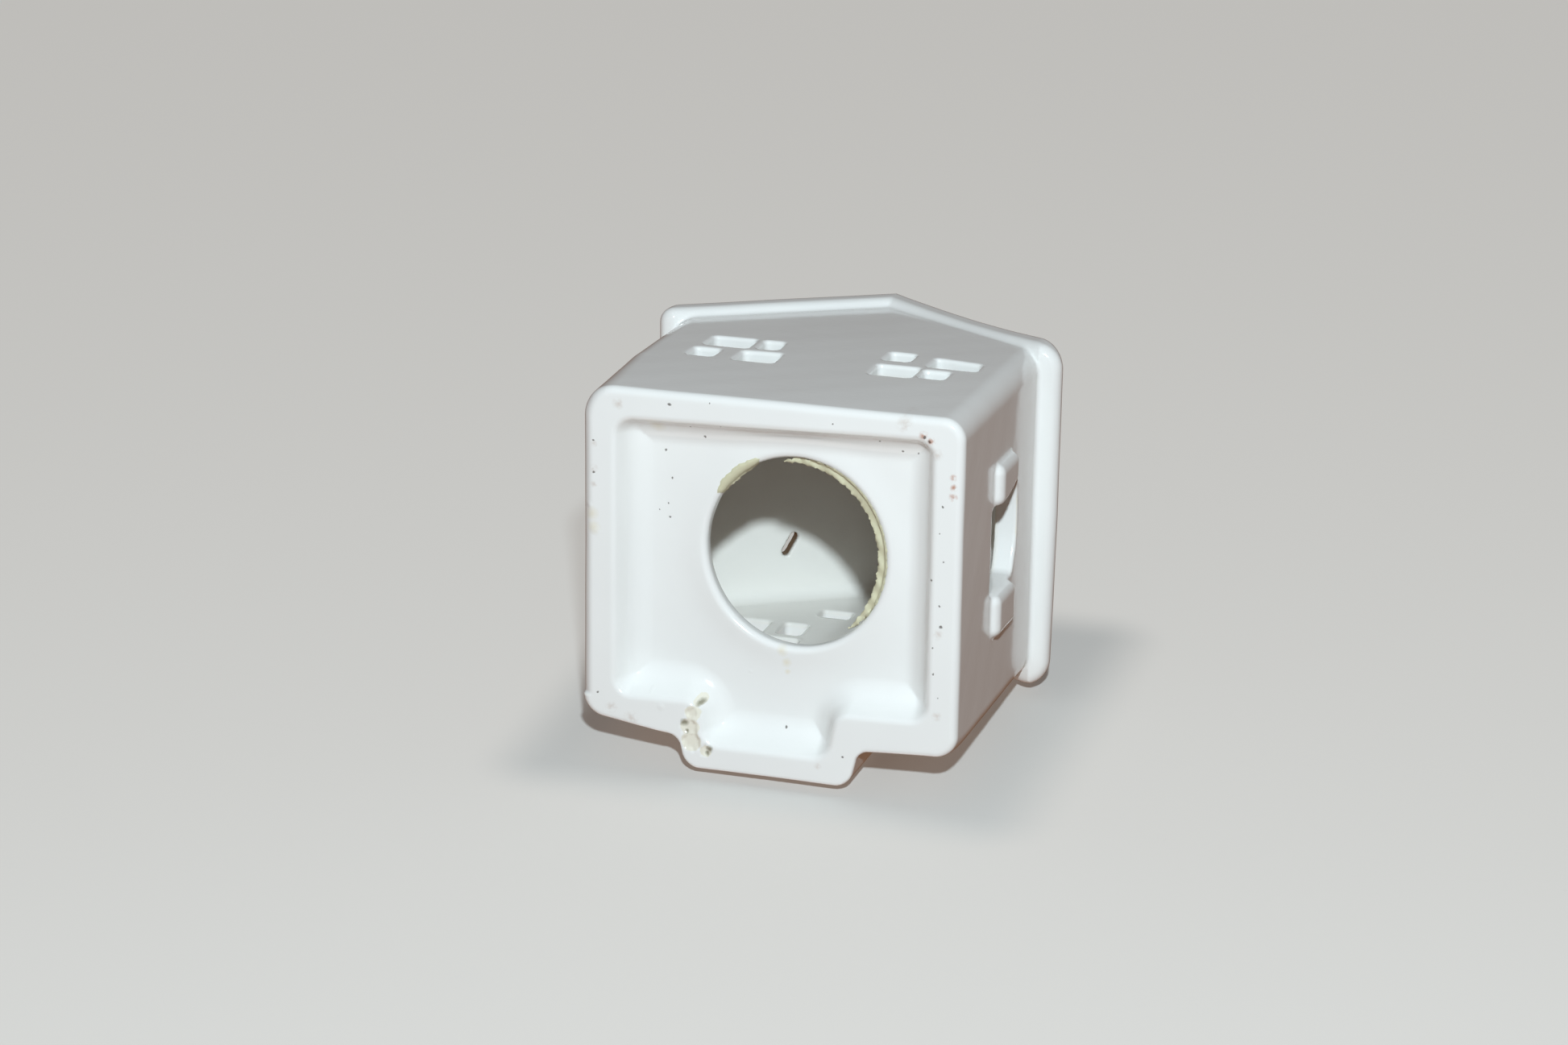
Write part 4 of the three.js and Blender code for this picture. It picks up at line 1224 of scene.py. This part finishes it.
def pale_paint(name, code):
    """Pale matt paint for the camera's own rays, seen only from its front, with a soft contact shadow painted
    round the house.
    """
    material, tree = new_material(name)
    path = add_node(tree, "ShaderNodeLightPath").outputs["Is Camera Ray"]
    geometry = add_node(tree, "ShaderNodeNewGeometry").outputs
    less = {"operation": "SUBTRACT", "use_clamp": True}
    front = add_node(tree, "ShaderNodeMath", less, i0=path, i1=geometry["Backfacing"])
    # The even glow fades towards the house's bounds: a painted contact shadow
    low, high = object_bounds()
    middle = [(a + b) / 2 for a, b in zip(low, high)]
    half = [(b - a) / 2 for a, b in zip(low, high)]
    away = geometry["Position"]
    for operation, other in (
        ("SUBTRACT", middle), ("ABSOLUTE", None), ("SUBTRACT", half), ("MAXIMUM", (0, 0, 0)),
        ("LENGTH", None),
    ):
        others = {"i1": other} if other else {}
        step = add_node(tree, "ShaderNodeVectorMath", {"operation": operation}, i0=away, **others)
        away = step.outputs["Value" if operation == "LENGTH" else 0]
    share = add_node(
        tree, "ShaderNodeMapRange", {"interpolation_type": "SMOOTHSTEP"}, Value=away, From_Min=0.0,
        From_Max=CONTACT_SHADOW_REACH, To_Min=CONTACT_SHADOW_SHARE, To_Max=EVEN_SHARE,
    )
    lit = add_node(tree, "ShaderNodeBsdfDiffuse", Color=(*code, 1))
    even = add_node(tree, "ShaderNodeEmission", Color=(*code, 1), Strength=1.0)
    pale = add_node(
        tree, "ShaderNodeMixShader", Fac=share.outputs["Result"], i1=lit.outputs[0], i2=even.outputs[0]
    )
    clear = add_node(tree, "ShaderNodeBsdfTransparent")
    mix = add_node(tree, "ShaderNodeMixShader", Fac=front.outputs[0], i1=clear.outputs[0], i2=pale.outputs[0])
    add_node(tree, "ShaderNodeOutputMaterial", Surface=mix.outputs[0])
    return material


def stage_plane(name, place, turn, material):
    """A large plane of the stage, which only the camera sees."""
    mesh = bpy.data.meshes.new(name)
    reach = STAGE_REACH
    corners = [(-reach, -reach, 0), (reach, -reach, 0), (reach, reach, 0), (-reach, reach, 0)]
    mesh.from_pydata(corners, [], [(0, 1, 2, 3)])
    mesh.materials.append(material)
    plane = bpy.data.objects.new(name, mesh)
    bpy.context.scene.collection.objects.link(plane)
    plane.matrix_world = Matrix.Translation(place) @ turn
    plane.visible_diffuse = False
    plane.visible_glossy = False
    plane.visible_transmission = False
    plane.visible_shadow = False
    plane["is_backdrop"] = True


def lamp(name, place, target, size, power, tint=(1, 1, 1)):
    """A round lamp that faces its target."""
    light = bpy.data.lights.new(name, "AREA")
    light.shape = "DISK"
    light.size = size
    light.energy = power
    light.color = tint
    holder = bpy.data.objects.new(name, light)
    bpy.context.scene.collection.objects.link(holder)
    holder.location = place
    holder.rotation_euler = (Vector(target) - Vector(place)).to_track_quat("-Z", "Y").to_euler()


def place_camera(scene):
    """The camera, where the photograph was taken from."""
    camera = bpy.data.cameras.new("camera")
    camera.sensor_width = SENSOR_WIDTH
    camera.lens = SENSOR_WIDTH * FOCAL_PIXELS / PHOTO_WIDTH
    camera.clip_start = CAMERA_NEAREST * MM
    holder = bpy.data.objects.new("camera", camera)
    scene.collection.objects.link(holder)
    backward = [-c for c in CAMERA_FORWARD]
    turn = Matrix((CAMERA_RIGHT, CAMERA_UP, backward)).transposed().to_4x4()
    holder.matrix_world = Matrix.Translation(Vector(CAMERA_PLACE) * MM) @ turn
    scene.camera = holder


def light_room(scene):
    """Light from the room all round, warm where it comes back from the table, over a pale background."""
    colours = scene.house_colours
    world = bpy.data.worlds.new("studio")
    world.use_nodes = True
    scene.world = world
    tree = world.node_tree
    tree.nodes.clear()
    path = add_node(tree, "ShaderNodeLightPath").outputs["Is Camera Ray"]
    way = add_node(tree, "ShaderNodeTexCoord").outputs["Generated"]
    toward = add_node(tree, "ShaderNodeVectorMath", {"operation": "DOT_PRODUCT"}, i0=way, i1=FORWARD)
    tableward = add_node(
        tree, "ShaderNodeMapRange", Value=toward.outputs["Value"], From_Min=TABLEWARD[0],
        From_Max=TABLEWARD[1],
    )
    tone = add_node(
        tree, "ShaderNodeMix", {"data_type": "RGBA"}, Factor=tableward.outputs["Result"],
        i6=(*colours.room_light, 1), i7=(*colours.table_light, 1),
    )
    light = add_node(tree, "ShaderNodeBackground", Color=tone.outputs[2], Strength=ROOM_STRENGTH)
    seen = add_node(tree, "ShaderNodeBackground", Color=(*colours.floor, 1), Strength=1.0)
    mix = add_node(tree, "ShaderNodeMixShader", Fac=path, i1=light.outputs[0], i2=seen.outputs[0])
    add_node(tree, "ShaderNodeOutputWorld", Surface=mix.outputs[0])


class HOUSE_OT_stage(bpy.types.Operator):
    """Build the pale floor, the lamps and the camera at the photograph's viewing angle"""

    bl_idname = "house.stage"
    bl_label = "Stage"

    def execute(self, context):
        scene = context.scene
        scene.view_settings.view_transform = "Standard"
        place_camera(scene)
        paint = scene.house_colours.floor
        stage_plane("floor", (0, 0, -FLOOR_GAP), Matrix.Identity(4), pale_paint("painted_floor", paint))
        porch_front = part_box("porch")[0].y
        lean = Matrix.Rotation(-math.atan(TABLE_RISE) - math.pi / 2, 4, "X")
        under_eave = (0, porch_front - TABLE_GAP, scene.house_sizes.porch_eave)
        stage_plane("table", under_eave, lean, pale_paint("painted_table", paint))
        camera = Vector(CAMERA_PLACE) * MM
        flash = camera + Vector(CAMERA_UP) * FLASH_UP + Vector(CAMERA_RIGHT) * FLASH_RIGHT
        lamp("flash", flash, FLASH_TARGET, FLASH_SIZE, FLASH_POWER, FLASH_TINT)
        lamp("front_softbox", SOFTBOX_PLACE, SOFTBOX_TARGET, SOFTBOX_SIZE, SOFTBOX_POWER)
        light_room(scene)
        return {"FINISHED"}


class HOUSE_PT_panel(bpy.types.Panel):
    """Lists the house's pieces and their sizes"""

    bl_idname = "HOUSE_PT_panel"
    bl_label = "Glazed ceramic house"
    bl_space_type = "VIEW_3D"
    bl_region_type = "UI"
    bl_category = "House"

    def draw(self, context):
        for operator in OPERATORS:
            self.layout.operator(operator.bl_idname)
        for group in (context.scene.house_sizes, context.scene.house_colours):
            for name in group.__annotations__:
                self.layout.prop(group, name)


OPERATORS = (
    HOUSE_OT_stage, HOUSE_OT_foot, HOUSE_OT_walls, HOUSE_OT_porch, HOUSE_OT_roof, HOUSE_OT_shutters,
    HOUSE_OT_adhesive,
)
CLASSES = (HouseSizes, HouseColours, *OPERATORS, HOUSE_PT_panel)


def register():
    """Adds the operators, the panel and the settings to Blender."""
    for entry in CLASSES:
        bpy.utils.register_class(entry)
    bpy.types.Scene.house_sizes = PointerProperty(type=HouseSizes)
    bpy.types.Scene.house_colours = PointerProperty(type=HouseColours)


def unregister():
    """Takes them out again."""
    del bpy.types.Scene.house_colours
    del bpy.types.Scene.house_sizes
    for entry in reversed(CLASSES):
        bpy.utils.unregister_class(entry)


def main():
    """Builds the stage and the pieces."""
    register()
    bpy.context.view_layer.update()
    bpy.ops.house.stage()
    bpy.ops.house.foot()
    bpy.ops.house.walls()
    bpy.ops.house.porch()
    bpy.ops.house.roof()
    bpy.ops.house.shutters()
    bpy.ops.house.adhesive()


if __name__ == "__main__":
    main()
